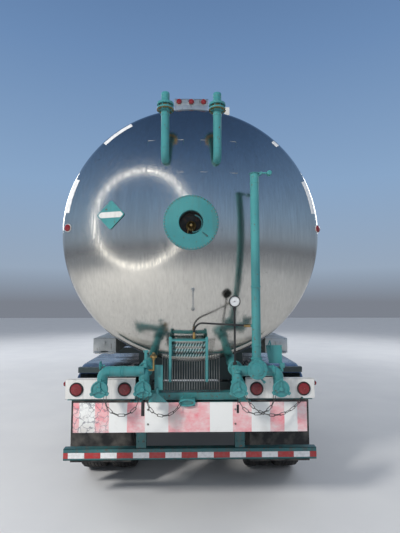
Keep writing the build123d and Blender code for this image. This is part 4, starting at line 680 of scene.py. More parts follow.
def right_valves(shape, inner):
    """Foot of the vent stack with its bolted bonnet, and the valve bodies over both outlets."""
    shape.tube([(STACK_X, MANIFOLD_Y, MANIFOLD_Z), (STACK_X, STACK_Y, MANIFOLD_Z),
                (STACK_X, STACK_Y, STACK_FOOT_Z)], 0.040, 0.045, 40)
    for level, radius in ((MANIFOLD_Z + 0.050, 0.046), (1.405, 0.050), (1.436, 0.047)):
        shape.collar((STACK_X, STACK_Y, level), Z_AXIS, radius, 0.016)
    bonnet = Vector((STACK_X, STACK_Y - 0.060, BONNET_Z))
    shape.lathe(bonnet, Y_AXIS, [
        (0.001, -0.004), (0.030, -0.004), (0.034, 0.0), (0.046, 0.002), (0.050, 0.008), (0.056, 0.009),
        (BONNET_RADIUS - 0.002, 0.009), (BONNET_RADIUS, 0.012), (BONNET_RADIUS, 0.024),
        (BONNET_RADIUS - 0.006, 0.026), (0.050, 0.028), (0.044, 0.060)], 56)
    shape.bolts(bonnet + Y_AXIS * 0.009, -Y_AXIS, 0.068, 10, 0.011, 0.008, 0.2)
    # Tapered body of the inner valve, ribbed at its foot
    foot_z = OUTLET_Z + 0.025
    height = 1.352 - foot_z
    wide, narrow = 0.056, 0.022
    shape.lathe((inner, CAP_BACK_Y + 0.035, foot_z), Z_AXIS, [
        (wide * 0.8, 0), (wide, 0.008), (wide, 0.020), (wide * 0.82, 0.030), (narrow * 1.15, height * 0.72),
        (narrow, height * 0.78), (narrow * 1.35, height * 0.84), (narrow * 1.35, height * 0.94),
        (narrow, height)], 36, caps=True)
    shape.collar((0.660, MANIFOLD_Y, MANIFOLD_Z), X_AXIS, 0.047, 0.020)
    stub_y = STACK_Y - 0.020
    shape.rod((STACK_X + 0.020, stub_y, 1.300), (STACK_X + 0.055, stub_y, 1.262), 0.008)
    shape.bolt((STACK_X + 0.052, stub_y, 1.266), (0.6, 0, -0.7), 0.020, 0.014)
    # Casing plate of the outer valve, with its triangular yoke
    casing = [(0.648, 1.389), (0.757, 1.389), (0.757, 1.537), (0.624, 1.537)]
    shape.slab(upright(CASING_Y, casing), (0, 0.010, 0))
    yoke = upright(YOKE_Y, [(0.633, 1.520), (0.655, 1.578), (0.665, 1.520), (0.633, 1.520)])
    for first, last in zip(yoke, yoke[1:]):
        shape.rod(first, last, 0.0045, 10)
    shape.rod((0.660, YOKE_Y, 1.560), (0.668, YOKE_Y, 1.490), 0.0045, 10)
    shape.box((0.728, -5.120, 1.360), (0.765, -5.090, 1.400), 0.005)
    shape.rod((0.745, -5.105, 1.330), (0.745, -5.105, 1.365), 0.012)


for side_name, side in SIDES.items():
    pipes(side_name, side)

brass, brass_x, brass_y = Shape(), -0.303, MANIFOLD_Y + 0.020
brass.lathe((brass_x, brass_y, 1.426), Z_AXIS, [
    (0.001, 0), (0.013, 0), (0.015, 0.008), (0.024, 0.016), (0.026, 0.026), (0.024, 0.036), (0.014, 0.046),
    (0.012, 0.056), (0.001, 0.058)], 28)
brass.rod((brass_x - 0.027, brass_y, 1.452), (brass_x + 0.027, brass_y, 1.452), 0.012, 6)
brass.rod((brass_x, brass_y, 1.340), (brass_x, brass_y, 1.430), 0.008)
brass.rod((brass_x, brass_y, 1.345), (-0.345, MANIFOLD_Y + 0.010, 1.345), 0.008)
brass.make("brass_valve", BRASS, "dull_brass")


# Outlet caps and their chains

CAP_RADIUS = 0.066
CAP_LUG_REACH = 0.080
# Outlines of a lug and a rib of a cap: outward and across, then their places and depths off its back
CAP_LUG = [(CAP_RADIUS - 0.006, -0.016), (CAP_LUG_REACH - 0.003, -0.012), (CAP_LUG_REACH, -0.008),
           (CAP_LUG_REACH, 0.008), (CAP_LUG_REACH - 0.003, 0.012), (CAP_RADIUS - 0.006, 0.016)]
CAP_RIB = [(0, -0.008), (CAP_RADIUS - 0.010, -0.006), (CAP_RADIUS - 0.010, 0.006), (0, 0.008)]
CAP_FORMS = ((CAP_LUG, 0.012, 0.022), (CAP_RIB, 0.025, 0.013))
HOOK_REACH = 0.064
HOOK_RADIUS = 0.004
HOOK_LENGTH = 0.028
HOOK_STAND_OFF = 0.012
CHAIN_PITCH = 0.052
CHAIN_WIRE = 0.0052
CHAIN_WIDTH = 0.024
BOARD_FACE_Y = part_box("bumper_board")[0].y


def behind_cap(side, outlet, degrees):
    """Place of a hook behind an outlet cap."""
    outward = facing_rear(radians(degrees))[0]
    return Vector((side * OUTLET_XS[outlet], CAP_BACK_Y + HOOK_STAND_OFF, OUTLET_Z)) + outward * HOOK_REACH


EYE_HOOK = Vector((-0.080, BOARD_FACE_Y - 0.024, 1.056))
BAR_HOOK = Vector((0.939, BOARD_FACE_Y - 0.012, 1.089))
# Start, end, count of links, and whether each end hangs behind a cap
CHAINS = [(behind_cap(-1, 1, -55), behind_cap(-1, 0, -125), 9, (True, True)),
          (behind_cap(-1, 0, -65), EYE_HOOK, 9, (True, False)),
          (behind_cap(1, 0, -90), behind_cap(1, 1, -135), 9, (True, True)),
          (behind_cap(1, 0, -45), BAR_HOOK, 13, (True, False))]


def chain_joints(start, end, count):
    """Ends of the links of a chain that hangs in an arc, and the level direction across it."""
    chord = end - start
    length = count * CHAIN_PITCH - 2 * HOOK_RADIUS
    low, high = 0.01, pi
    for _ in range(40):
        half = (low + high) / 2
        if sin(half) / half > chord.length / length:
            low = half
        else:
            high = half
    radius = length / (2 * half)
    across = chord.cross(Z_AXIS).normalized()
    across = across if across.y > 0 else -across
    level = chord.normalized()
    down = across.cross(level)
    down = -down if down.z > 0 else down
    centre = (start + end) * 0.5 - down * (radius * cos(half))
    angles = [(joint * CHAIN_PITCH - HOOK_RADIUS) / radius - half for joint in range(count + 1)]
    return [centre + level * (radius * sin(a)) + down * (radius * cos(a)) for a in angles], across


def link(shape, before, after, normal):
    """One oval link; normal is square to its plane."""
    along = (after - before).normalized()
    normal = (normal - along * normal.dot(along)).normalized()
    beside = normal.cross(along)
    bend = (CHAIN_WIDTH - CHAIN_WIRE) / 2
    straight = (CHAIN_PITCH + CHAIN_WIRE) / 2 - bend
    stations = []
    for a, b in circle(28):
        out = along * a + beside * b
        end = (before + after) / 2 + along * (straight if a > 0 else -straight)
        stations.append((end + out * bend, out, normal))
    shape.hoop(stations, CHAIN_WIRE / 2, 10)


links, hooks = Shape(), Shape()
for start, end, count, behind in CHAINS:
    joints, across = chain_joints(start, end, count)
    for number, (before, after) in enumerate(zip(joints, joints[1:])):
        along = (after - before).normalized()
        link(links, before, after, along.cross(across) if number % 2 else across)
    for place, cap_hook in zip((start, end), behind):
        inward = -across if cap_hook else across
        foot = place - inward * (HOOK_LENGTH - HOOK_STAND_OFF - 0.006)
        hooks.rod(foot, foot + inward * HOOK_LENGTH, HOOK_RADIUS, 12)
        washer = foot if cap_hook else foot + inward * 0.001
        hooks.lathe(washer, inward, [(0.0062, 0), (0.0062, 0.002)], 12, caps=True)
links.make("chain_links", CHAIN_METAL, "chain_steel", replaces=["cap_chains"])
hooks.make("chain_hooks", TEAL, "teal_paint")


def outlet_cap(shape, outlet_x):
    """Screw cap with three lugs, a raised rim and three ribs that meet in a boss."""
    back = Vector((outlet_x, CAP_BACK_Y, OUTLET_Z))
    shape.lathe(back, -Y_AXIS, [
        (0.001, 0), (CAP_RADIUS - 0.006, 0), (CAP_RADIUS - 0.002, 0.003), (CAP_RADIUS - 0.002, 0.014),
        (CAP_RADIUS, 0.016), (CAP_RADIUS, 0.030), (CAP_RADIUS - 0.003, 0.034), (CAP_RADIUS - 0.009, 0.034),
        (CAP_RADIUS - 0.012, 0.027), (0.020, 0.027), (0.018, 0.040), (0.014, CAP_DEPTH - 0.002),
        (0.001, CAP_DEPTH - 0.001)], 48)
    for turn in range(3):
        out, beside = facing_rear(radians(90 + 120 * turn))
        for outline, rise, depth in CAP_FORMS:
            shape.slab(flat(back - Y_AXIS * rise, out, beside, outline), -Y_AXIS * depth)


caps = Shape()
for side in SIDES.values():
    for outlet_x in OUTLET_XS:
        outlet_cap(caps, side * outlet_x)
caps.make("outlet_screw_caps", TEAL, "teal_paint", replaces=["outlet_caps"])

straps = Shape()
straps.tube([(-0.369, REAR_END_Y + 0.006, 1.190), (-0.369, REAR_END_Y + 0.010, 1.130)], 0.003, 0.01, 10)
straps.box((-0.382, REAR_END_Y + 0.004, 1.020), (-0.356, REAR_END_Y + 0.009, 1.132), 0.001)
straps.box((0.356, REAR_END_Y + 0.006, 1.038), (0.374, REAR_END_Y + 0.011, 1.101), 0.001)
straps.tube([(0.365, REAR_END_Y + 0.008, 1.100), (0.365, REAR_END_Y + 0.008, 1.150)], 0.0025, 0.01, 10)
straps.make("cap_straps", SLEEVE, "line_rubber")


# Vent stack, its flap and the sensing line

FLAP_PIN = Vector((STACK_X + STACK_RADIUS + 0.018, STACK_Y, STACK_TOP_Z + 0.010))
FLAP_LOW_Z = STACK_TOP_Z + 0.002
STACK_WALL = 0.0035
STACK_DEPTH = 0.20
EAR_RADIUS = 0.010
EAR_HALF = 0.003
LINE_HIGH_Z = 1.705
LINE_RADIUS = 0.0078
LINE_BEND = 0.085
LINE_ARC_STEP = radians(5)
COIL_LINE_X = 0.027
COIL_FRONT_Y = REAR_END_Y + 0.340
COIL_BAR_Z = 1.577
NUT_RADIUS = 0.0135
FERRULE_RADIUS = 0.0105

stack = Shape().lathe((STACK_X, STACK_Y, 0), Z_AXIS, [
    (STACK_RADIUS - 0.003, STACK_FOOT_Z), (STACK_RADIUS, STACK_FOOT_Z), (STACK_RADIUS, STACK_TOP_Z),
    (STACK_RADIUS - STACK_WALL, STACK_TOP_Z), (STACK_RADIUS - STACK_WALL, STACK_TOP_Z - STACK_DEPTH),
    (0.001, STACK_TOP_Z - STACK_DEPTH)], 48)
for level in (STACK_FOOT_Z + 0.10, 2.02, STACK_TOP_Z - 0.075):
    stack.band((STACK_X, STACK_Y, level), Z_AXIS, STACK_RADIUS, 0.003, 0.010)
ear_foot_x = STACK_X + STACK_RADIUS - 0.006
ear = [(FLAP_PIN.x + EAR_RADIUS * cos(radians(turn)), FLAP_PIN.z + EAR_RADIUS * sin(radians(turn)))
       for turn in range(-70, 91, 20)]
ear = [(ear_foot_x, STACK_TOP_Z - 0.022)] + ear + [(ear_foot_x, STACK_TOP_Z - 0.002)]
for side in SIDES.values():
    stack.slab(upright(STACK_Y + side * 0.017 - EAR_HALF, ear), (0, 2 * EAR_HALF, 0))
stack.rod(FLAP_PIN - Y_AXIS * 0.023, FLAP_PIN + Y_AXIS * 0.023, 0.004, 16)
tapping = Vector((STACK_X - STACK_RADIUS, STACK_Y, LINE_HIGH_Z))
stack.rod(tapping + X_AXIS * 0.004, tapping - X_AXIS * 0.012, 0.011, 24)
stack.make("stack_pipe", TEAL, "teal_paint", replaces=["vent_stack"])

flap = Shape().lathe((STACK_X, STACK_Y, FLAP_LOW_Z), Z_AXIS, [
    (0.001, 0), (0.0425, 0), (0.0445, 0.002), (0.0440, 0.004), (0.036, 0.008), (0.020, 0.011),
    (0.001, 0.012)], 40)
flap.box((STACK_X - 0.012, STACK_Y - 0.009, FLAP_LOW_Z + 0.003),
         (FLAP_PIN.x + 0.070, STACK_Y + 0.009, FLAP_LOW_Z + 0.015), 0.002)
counterweight = [(0.014, 0), (0.020, 0.005), (0.020, 0.045), (0.014, 0.050)]
flap.lathe(FLAP_PIN + Vector((0.070, -0.025, 0)), Y_AXIS, counterweight, 32, caps=True)
flap.make("rain_flap", TEAL, "teal_paint", body="vent_flap", replaces=["vent_flap"])

line_start = tapping - X_AXIS * 0.045
line_corner = Vector((COIL_LINE_X, COIL_FRONT_Y, LINE_HIGH_Z + 0.011))
line_end = Vector((COIL_LINE_X, COIL_FRONT_Y, COIL_BAR_Z + 0.040))
line = Shape().tube([line_start, line_corner, line_end], LINE_RADIUS, LINE_BEND, 20, LINE_ARC_STEP)
line.make("sleeved_line", SLEEVE, "line_rubber", replaces=["sensing_line"])

fittings = Shape()
fittings.rod(tapping - X_AXIS * 0.010, line_start - X_AXIS * 0.004, NUT_RADIUS, 6)
fittings.rod(line_start + X_AXIS * 0.002, line_start - X_AXIS * 0.018, FERRULE_RADIUS, 24)
fittings.rod(line_end - Z_AXIS * 0.038, line_end, NUT_RADIUS, 6)
fittings.rod(line_end - Z_AXIS * 0.004, line_end + Z_AXIS * 0.016, FERRULE_RADIUS, 24)
fittings.make("line_fittings", BRASS, "dull_brass")


# Relief pipes at the top

RELIEF_X = 0.230
RELIEF_Y = REAR_APEX_Y + 0.022
RELIEF_RADIUS = 0.0365
RELIEF_LOW_Z, RELIEF_TOP_Z = 3.157, 3.753
FLANGE_Z = 3.620
FLANGE_RADIUS = 0.074
FLANGE_BOLT_CIRCLE = 0.060
FLANGE_FIRST_BOLT = 0.39
FLANGE = [(RELIEF_RADIUS, -0.006), (0.044, -0.002), (0.046, 0), (FLANGE_RADIUS - 0.002, 0),
          (FLANGE_RADIUS, 0.002), (FLANGE_RADIUS, 0.018), (FLANGE_RADIUS - 0.002, 0.020), (0.046, 0.020),
          (0.044, 0.022), (RELIEF_RADIUS, 0.026)]

relief, rims = Shape(), Shape()
for side in SIDES.values():
    foot = Vector((side * RELIEF_X, RELIEF_Y, 0))
    low, flange = foot + Z_AXIS * RELIEF_LOW_Z, foot + Z_AXIS * FLANGE_Z
    relief.tube([low + Y_AXIS * 0.20, low, foot + Z_AXIS * (RELIEF_TOP_Z - 0.012)], RELIEF_RADIUS, 0.062, 40)
    relief.lathe(foot + Z_AXIS * (RELIEF_TOP_Z - 0.045), Z_AXIS, [
        (RELIEF_RADIUS, 0), (0.0375, 0.002), (0.0375, 0.030), (0.034, 0.038), (0.020, 0.043),
        (0.001, 0.045)], 40)
    for rise in (-0.032, 0.010):
        relief.lathe(flange + Z_AXIS * rise, Z_AXIS, FLANGE, 56)
    for rise, axis in ((0.030, Z_AXIS), (-0.032, -Z_AXIS)):
        relief.bolts(flange + Z_AXIS * rise, axis, FLANGE_BOLT_CIRCLE, 8, 0.012, 0.010, FLANGE_FIRST_BOLT)
    for a, b in circle(8, FLANGE_FIRST_BOLT):
        stud = flange + Vector((a, b, 0)) * FLANGE_BOLT_CIRCLE - Z_AXIS * 0.012
        relief.rod(stud, stud + Z_AXIS * 0.022, 0.0045, 10)
    relief.band(low + Z_AXIS * 0.085, Z_AXIS, RELIEF_RADIUS)
    relief.band(flange - Z_AXIS * 0.075, Z_AXIS, RELIEF_RADIUS, 0.004, 0.014)
    rims.lathe(flange - Z_AXIS * 0.012, Z_AXIS, [(0.050, 0), (0.0555, 0.002), (0.0555, 0.020),
                                                 (0.050, 0.022)])
    rims.lathe(flange - Z_AXIS * 0.0335, Z_AXIS, [(0.050, 0), (0.0755, 0), (0.0765, 0.003), (0.0755, 0.006),
                                                  (0.070, 0.006)], 56)
relief.make("relief_stacks", TEAL, "teal_paint", replaces=["top_relief_pipes"])
rims.make("relief_flange_rims", BRASS, "dull_brass")


# Lamps on top of the rim

TOP_LAMP_XS = (-0.119, 0, 0.119)
LAMP_BAR_LOW, LAMP_BAR_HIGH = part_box("top_lamp_bracket")
TOP_LAMP_Z = TANK_AXIS_Z + TANK_RADIUS + 0.044
LAMP_BAR_Y = LAMP_BAR_LOW.y + 0.020
# Front and back, bottom and top of each plate off the lamps' centres, and its chamfer
LAMP_BAR_PLATES = ((0, 0.004, -0.032, 0.0315, 0.001), (0, 0.030, 0.0275, 0.0315, 0.001),
                   (0.001, 0.150, -0.084, -0.030, 0.003))

bracket, top_lenses = Shape(), Shape()
for near, far, low, high, bevel in LAMP_BAR_PLATES:
    bracket.box((-LAMP_BAR_HIGH.x, LAMP_BAR_Y + near, TOP_LAMP_Z + low),
                (LAMP_BAR_HIGH.x, LAMP_BAR_Y + far, TOP_LAMP_Z + high), bevel)
for x in TOP_LAMP_XS:
    centre = Vector((x, LAMP_BAR_Y, TOP_LAMP_Z))
    bracket.lathe(centre, -Y_AXIS, [(0.022, 0), (0.0300, 0), (0.0300, 0.006), (0.0285, 0.009),
                                    (0.0265, 0.008)], 40)
    top_lenses.lathe(centre, -Y_AXIS, [(0.0262, 0.002), (0.0262, 0.008), (0.024, 0.013), (0.018, 0.017),
                                       (0.010, 0.0192), (0.001, 0.0198)], 40)
    for side in SIDES.values():
        bracket.bolt(centre + X_AXIS * side * 0.042, -Y_AXIS, 0.007, 0.003)
bracket.make("top_lamp_bar", BRACKET_METAL, "bracket_aluminium", replaces=["top_lamp_bracket"])
top_lenses.make("top_lenses", LENS, "red_lens")


# Pressure gauge

GAUGE = Vector((0.365, REAR_END_Y + 0.190, 1.900))
GAUGE_RADIUS = 0.048
TICK_RADIUS = 0.036
TICK_HALF_WIDTH = 0.0006
TICK_LENGTHS = (0.008, 0.004, 0.004)
POINTER_TURN = radians(205)

case, dial, marks = Shape(), Shape(), Shape()
case.lathe(GAUGE + Y_AXIS * 0.014, -Y_AXIS, [
    (0.001, 0), (GAUGE_RADIUS - 0.005, 0), (GAUGE_RADIUS - 0.001, 0.004), (GAUGE_RADIUS - 0.001, 0.024),
    (GAUGE_RADIUS, 0.026), (GAUGE_RADIUS, 0.032), (GAUGE_RADIUS - 0.002, 0.034), (0.041, 0.034),
    (0.040, 0.028)], 48)
case.rod((GAUGE.x, GAUGE.y, MANIFOLD_Z + 0.035), GAUGE - Z_AXIS * 0.040, 0.0085, 20)
case.collar(GAUGE - Z_AXIS * 0.078, Z_AXIS, 0.013, 0.030, 6)
case.collar((GAUGE.x, GAUGE.y, MANIFOLD_Z + 0.034), Z_AXIS, 0.017, 0.030, 6)
dial.lathe(GAUGE - Y_AXIS * 0.0140, -Y_AXIS, [(0.0405, 0), (0.001, 0)], 48)
for tick in range(19):
    out, beside = facing_rear(radians(225 - 15 * tick))
    inner = TICK_RADIUS - TICK_LENGTHS[tick % 3]
    outline = [(TICK_RADIUS, -TICK_HALF_WIDTH), (TICK_RADIUS, TICK_HALF_WIDTH), (inner, TICK_HALF_WIDTH),
               (inner, -TICK_HALF_WIDTH)]
    marks.slab(flat(GAUGE - Y_AXIS * 0.0142, out, beside, outline), -Y_AXIS * 0.0006)
centre = GAUGE - Y_AXIS * 0.0155
pointer = flat(centre, *facing_rear(POINTER_TURN), [(0.032, 0), (-0.008, 0.0016), (-0.008, -0.0016)])
marks.slab(pointer, -Y_AXIS * 0.0008)
marks.lathe(centre, -Y_AXIS, [(0.004, 0), (0.004, 0.002), (0.001, 0.0025)], 20)
case.make("gauge_case", SLEEVE, "gauge_black", replaces=["gauge"])
dial.make("gauge_dial", DIAL, "white_paint")
marks.make("gauge_marks", SLEEVE, "gauge_black")


# Cage and finned coil under the head

CAGE_HALF = 0.250
CAGE_Y = REAR_END_Y + 0.364
CAGE_RAIL_Y = CAGE_Y - 0.004
CAGE_LOW_Z, CAGE_HIGH_Z = 1.120, 1.453
CAGE_BARS = 24
CAGE_RAIL_Z = 1.215
CAGE_RAIL_RADIUS = 0.0042
COIL_Y = REAR_END_Y + 0.370
# Level of each row of fins and its step forward
COIL_ROWS = ((1.429, 0.026), (1.476, 0.0), (1.521, 0.0))
COIL_LEFT_X, COIL_RIGHT_X = -0.190, 0.150
COIL_POST = 0.010
COIL_POST_LOW_Z = 1.211
COIL_POST_REACH = 0.034
FIN_RADIUS = 0.0215
FIN_PITCH = 0.0243
FIN_HALF = 0.0045
COIL_RADIUS = 0.009
FIN_LEAN = radians(-24)
FIN_AXIS = Vector((cos(FIN_LEAN), 0, sin(FIN_LEAN)))
FIN = [(COIL_RADIUS - 0.001, -FIN_HALF), (FIN_RADIUS, -0.7 * FIN_HALF), (FIN_RADIUS, 0.7 * FIN_HALF),
       (COIL_RADIUS - 0.001, FIN_HALF)]

cage, posts, coil, fins = Shape(), Shape(), Shape(), Shape()
for number in range(CAGE_BARS):
    x = (2 * number / (CAGE_BARS - 1) - 1) * (CAGE_HALF - 0.004)
    top_z = COIL_ROWS[0][0] - FIN_RADIUS - 0.012 if COIL_LEFT_X < x < COIL_RIGHT_X else CAGE_HIGH_Z
    cage.rod((x, CAGE_Y, CAGE_LOW_Z), (x, CAGE_Y, top_z), 0.0038, 12)
for low_x, high_x, level in ((-CAGE_HALF, CAGE_HALF, CAGE_LOW_Z + 0.005),
                             (-CAGE_HALF, CAGE_HALF, CAGE_RAIL_Z),
                             (-CAGE_HALF, COIL_LEFT_X, CAGE_HIGH_Z - 0.005),
                             (COIL_RIGHT_X, CAGE_HALF, CAGE_HIGH_Z - 0.005)):
    cage.rod((low_x, CAGE_RAIL_Y, level), (high_x, CAGE_RAIL_Y, level), CAGE_RAIL_RADIUS, 12)
cage.make("cage_bars", BAR_METAL_SHADED, "cage_steel", replaces=["coil_cage"])
post_y = COIL_Y - COIL_POST_REACH
for low in (COIL_LEFT_X, COIL_RIGHT_X - COIL_POST):
    posts.box((low, post_y, COIL_POST_LOW_Z),
              (low + COIL_POST, COIL_Y + COIL_POST_REACH, COIL_BAR_Z + 0.017), 0.0015)
for low in (COIL_LEFT_X, COIL_RIGHT_X - 0.024):
    posts.box((low, COIL_Y - 0.0375, COIL_POST_LOW_Z),
              (low + 0.024, COIL_Y - 0.0335, COIL_BAR_Z + 0.016), 0.0012)
posts.box((COIL_LEFT_X, post_y, COIL_BAR_Z - 0.021), (COIL_RIGHT_X, COIL_Y - 0.028, COIL_BAR_Z), 0.0012)
posts.box((COIL_LEFT_X, post_y, COIL_BAR_Z - 0.006), (COIL_RIGHT_X, COIL_Y + 0.010, COIL_BAR_Z), 0.0012)
for x in (-0.15, -0.05, 0.07, 0.12):
    posts.bolt((x, post_y, COIL_BAR_Z - 0.012), -Y_AXIS, 0.010, 0.005)
posts.make("coil_posts", TEAL, "teal_paint")
first_x, last_x = COIL_LEFT_X + 0.052, COIL_RIGHT_X - COIL_POST
for level, step in COIL_ROWS:
    coil.rod((COIL_LEFT_X + COIL_POST, COIL_Y + step, level), (last_x, COIL_Y + step, level), COIL_RADIUS, 24)
    for number in range(int((last_x - first_x) / FIN_PITCH)):
        fins.lathe((first_x + (number + 0.5) * FIN_PITCH, COIL_Y + step, level), FIN_AXIS, FIN, 28)
bend_x = COIL_LEFT_X + COIL_POST + 0.016
for (low_z, low_step), (high_z, high_step) in zip(COIL_ROWS, COIL_ROWS[1:]):
    coil.tube([(first_x, COIL_Y + low_step, low_z), (bend_x, COIL_Y + low_step, low_z),
               (bend_x, COIL_Y + high_step, high_z), (first_x, COIL_Y + high_step, high_z)],
              COIL_RADIUS, 0.020, 20)
coil.make("coil_tube", TEAL_DARK, "fin_aluminium", replaces=["finned_coil"])
fins.make("coil_fins", FIN_METAL, "fin_aluminium")


# Light bars, lamps, board and guard

LIGHT_BAR_LOW, LIGHT_BAR_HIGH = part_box("light_bars")
LIGHT_BAR_INNER_X = 0.470
LIGHT_BAR_WALL = 0.004
LIGHT_BAR_DEPTH = 0.069
LAMP_XS = (0.556, 0.957)
LAMP_Z = 1.165
LAMP_RADIUS = 0.0575
SIDE_LAMP_Z = 1.205
GUARD_LOW, GUARD_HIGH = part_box("underride_guard")
GUARD_BAR_TOP_Z = 0.544
GUARD_WALL = 0.006
GUARD_DEPTH = 0.070
RAIL_X = 0.460
RAIL_LOW_Z = 0.860
BRACE = [(0.024, 0.024), (-0.024, 0.024), (-0.024, -0.024), (0.024, -0.024)]
TAPE_LOW_Z, TAPE_HIGH_Z = 0.458, 0.508
TAPE_STEP = 0.1495
FIRST_TAPE_END_X = -1.131
EYE = Vector((-0.028, BOARD_FACE_Y - 0.016, 1.056))
EYE_HALF_WIDTH, EYE_HALF_HEIGHT = 0.062, 0.024

bars, rings, lenses, side_lenses = Shape(), Shape(), Shape(), Shape()
for side in SIDES.values():
    low, high = span(side, LIGHT_BAR_INNER_X, LIGHT_BAR_HIGH.x)
    face, bottom, top = BOARD_FACE_Y, LIGHT_BAR_LOW.z, LIGHT_BAR_HIGH.z
    back = face + LIGHT_BAR_DEPTH
    bars.box((low, face, bottom), (high, face + LIGHT_BAR_WALL, top))
    bars.box((low, face, top - LIGHT_BAR_WALL), (high, back, top))
    bars.box((low, face, bottom), (high, back, bottom + LIGHT_BAR_WALL))
    for end in (low, high - LIGHT_BAR_WALL):
        bars.box((end, face + 0.001, bottom + 0.001), (end + LIGHT_BAR_WALL, back, top - 0.001), 0.001)
    for lamp_x in LAMP_XS:
        centre = Vector((side * lamp_x, face, LAMP_Z))
        rings.lathe(centre, -Y_AXIS, [(0.046, 0), (LAMP_RADIUS, 0), (LAMP_RADIUS, 0.006), (0.054, 0.011),
                                      (0.050, 0.012), (0.0475, 0.009), (0.0475, 0.004)], 56)
        lenses.lathe(centre, -Y_AXIS, [(0.0478, 0.003), (0.0478, 0.009), (0.045, 0.0125), (0.036, 0.0150),
                                       (0.020, 0.0168), (0.001, 0.0175)], 56)
    marker = Vector((side * LIGHT_BAR_HIGH.x, face + 0.030, SIDE_LAMP_Z))
    rings.lathe(marker, X_AXIS * side, [(0.010, 0), (0.024, 0), (0.024, 0.004), (0.020, 0.006)], 32)
    side_lenses.lathe(marker, X_AXIS * side, [(0.020, 0.003), (0.020, 0.012), (0.016, 0.020), (0.008, 0.0245),
                                              (0.001, 0.025)], 32)
bars.make("light_bar_shells", WHITE, "white_paint", replaces=["light_bars"])
rings.make("lamp_rings", SLEEVE, "line_rubber")
lenses.make("tail_lenses", LENS, "red_lens", replaces=["tail_lamps"])
side_lenses.make("side_lenses", LENS, "red_lens")

board, board_bolts = Shape().box(*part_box("bumper_board")), Shape()
board.make("board_panel", BOARD, "board_paint", replaces=["bumper_board"])
for x in (-0.357, 0.375):
    for z in (0.878, 0.996):
        board_bolts.bolt((x, BOARD_FACE_Y, z), -Y_AXIS, 0.013, 0.006)
board_bolts.make("board_bolts", BOLT_METAL, "cage_steel")

guard = Shape()
face, half, bottom, top = GUARD_LOW.y, GUARD_HIGH.x, GUARD_LOW.z, GUARD_BAR_TOP_Z
back = face + GUARD_DEPTH
guard.box((-half, face, bottom), (half, face + GUARD_WALL, top))
guard.box((-half, face, top - GUARD_WALL), (half, back, top))
guard.box((-half, face, bottom), (half, back, bottom + GUARD_WALL))
for side in SIDES.values():
    x = side * RAIL_X
    guard.box((x - 0.045, face + 0.004, top - 0.004), (x + 0.045, back, RAIL_LOW_Z), 0.002)
    start, end = Vector((x, face + 0.045, top + 0.020)), Vector((x, face + 0.330, RAIL_LOW_Z - 0.004))
    guard.slab(flat(start, X_AXIS, X_AXIS.cross((end - start).normalized()), BRACE), end - start)
    for level in (0.830, 0.600):
        for step in SIDES.values():
            guard.bolt((x + step * 0.026, face + 0.004, level), -Y_AXIS, 0.014, 0.008)
guard.make("guard_channel", TEAL_DARK, "teal_paint", replaces=["underride_guard"])

tapes = {"red": Shape(), "white": Shape()}
edge, step_end, colour = -half + 0.001, FIRST_TAPE_END_X, "red"
while edge < half - 0.002:
    last = min(step_end, half - 0.001)
    tapes[colour].box((edge, face - 0.0008, TAPE_LOW_Z), (last, face + 0.0005, TAPE_HIGH_Z), 0.0)
    edge, step_end = last, step_end + TAPE_STEP
    colour = "white" if colour == "red" else "red"
tapes["white"].make("guard_tape_white", TAPE_WHITE, "white_paint")
tapes["red"].make("guard_tape_red", TAPE_RED, "red_lens")

eye = Shape().hoop([(EYE + Vector((EYE_HALF_WIDTH * a, 0, EYE_HALF_HEIGHT * b)), Vector((a, 0, b)), Y_AXIS)
                    for a, b in circle(48)], 0.0095, 12)
for x in (-0.070, 0.012):
    eye.bolt((x, -4.930, 1.084), Z_AXIS, 0.016, 0.010)
eye.make("eye_ring", TEAL, "teal_paint")


# Fenders, trays and their doors

FENDER_LOW, FENDER_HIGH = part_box("fenders")
FENDER_INNER_X, FENDER_OUTER_X = 0.600, FENDER_HIGH.x - 0.0005
FENDER_CORNER = 0.450
FENDER_WALL = 0.0045
# Share of the width and drop under the sheet's crown
FENDER_EDGES = ((0, 0.008), (0.02, 0.002), (0.06, 0), (0.5, 0), (0.94, 0), (0.98, 0.002), (1, 0.008))


def fender(side):
    """Sheet bent over both axles, with a rolled bead along each edge."""
    low, high = FENDER_LOW, FENDER_HIGH
    route = rounded([(0, low.y, low.z), (0, low.y, high.z), (0, high.y, high.z), (0, high.y, low.z)],
                    FENDER_CORNER, radians(3))
    middle = Vector((0, (low.y + high.y) / 2, low.z))
    rows = []
    for number, place in enumerate(route):
        before, after = route[max(number - 1, 0)], route[min(number + 1, len(route) - 1)]
        inward = (after - before).normalized().cross(X_AXIS)
        inward = inward if inward.dot(middle - place) > 0 else -inward
        top = [Vector((side * (FENDER_INNER_X + (FENDER_OUTER_X - FENDER_INNER_X) * share), place.y, place.z))
               + inward * drop for share, drop in FENDER_EDGES]
        rows.append(top + [point + inward * FENDER_WALL for point in reversed(top)])
    return Shape().closed(rows)


for side_name, side in SIDES.items():
    fender(side).make(f"fender_{side_name}", FENDER_SHEET_SHADED, "polished_sheet",
                      replaces=["fenders"] if side_name == "left" else ())

TRAY_LOW, TRAY_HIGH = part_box("hose_trays")
DOOR_PIN_Y, DOOR_PIN_Z = TRAY_LOW.y + 0.006, 1.400257
DOOR_SHEET = 0.003
DOOR_KNUCKLE = [(0.0066, 0), (0.0100, 0.001), (0.0100, 0.054), (0.0066, 0.055)]
DOOR_KNOB = [(0.016, 0), (0.016, 0.003), (0.010, 0.005), (0.010, 0.010), (0.001, 0.011)]
TRAY_STRAP_YS = (-3.85, -3.05, -2.25)


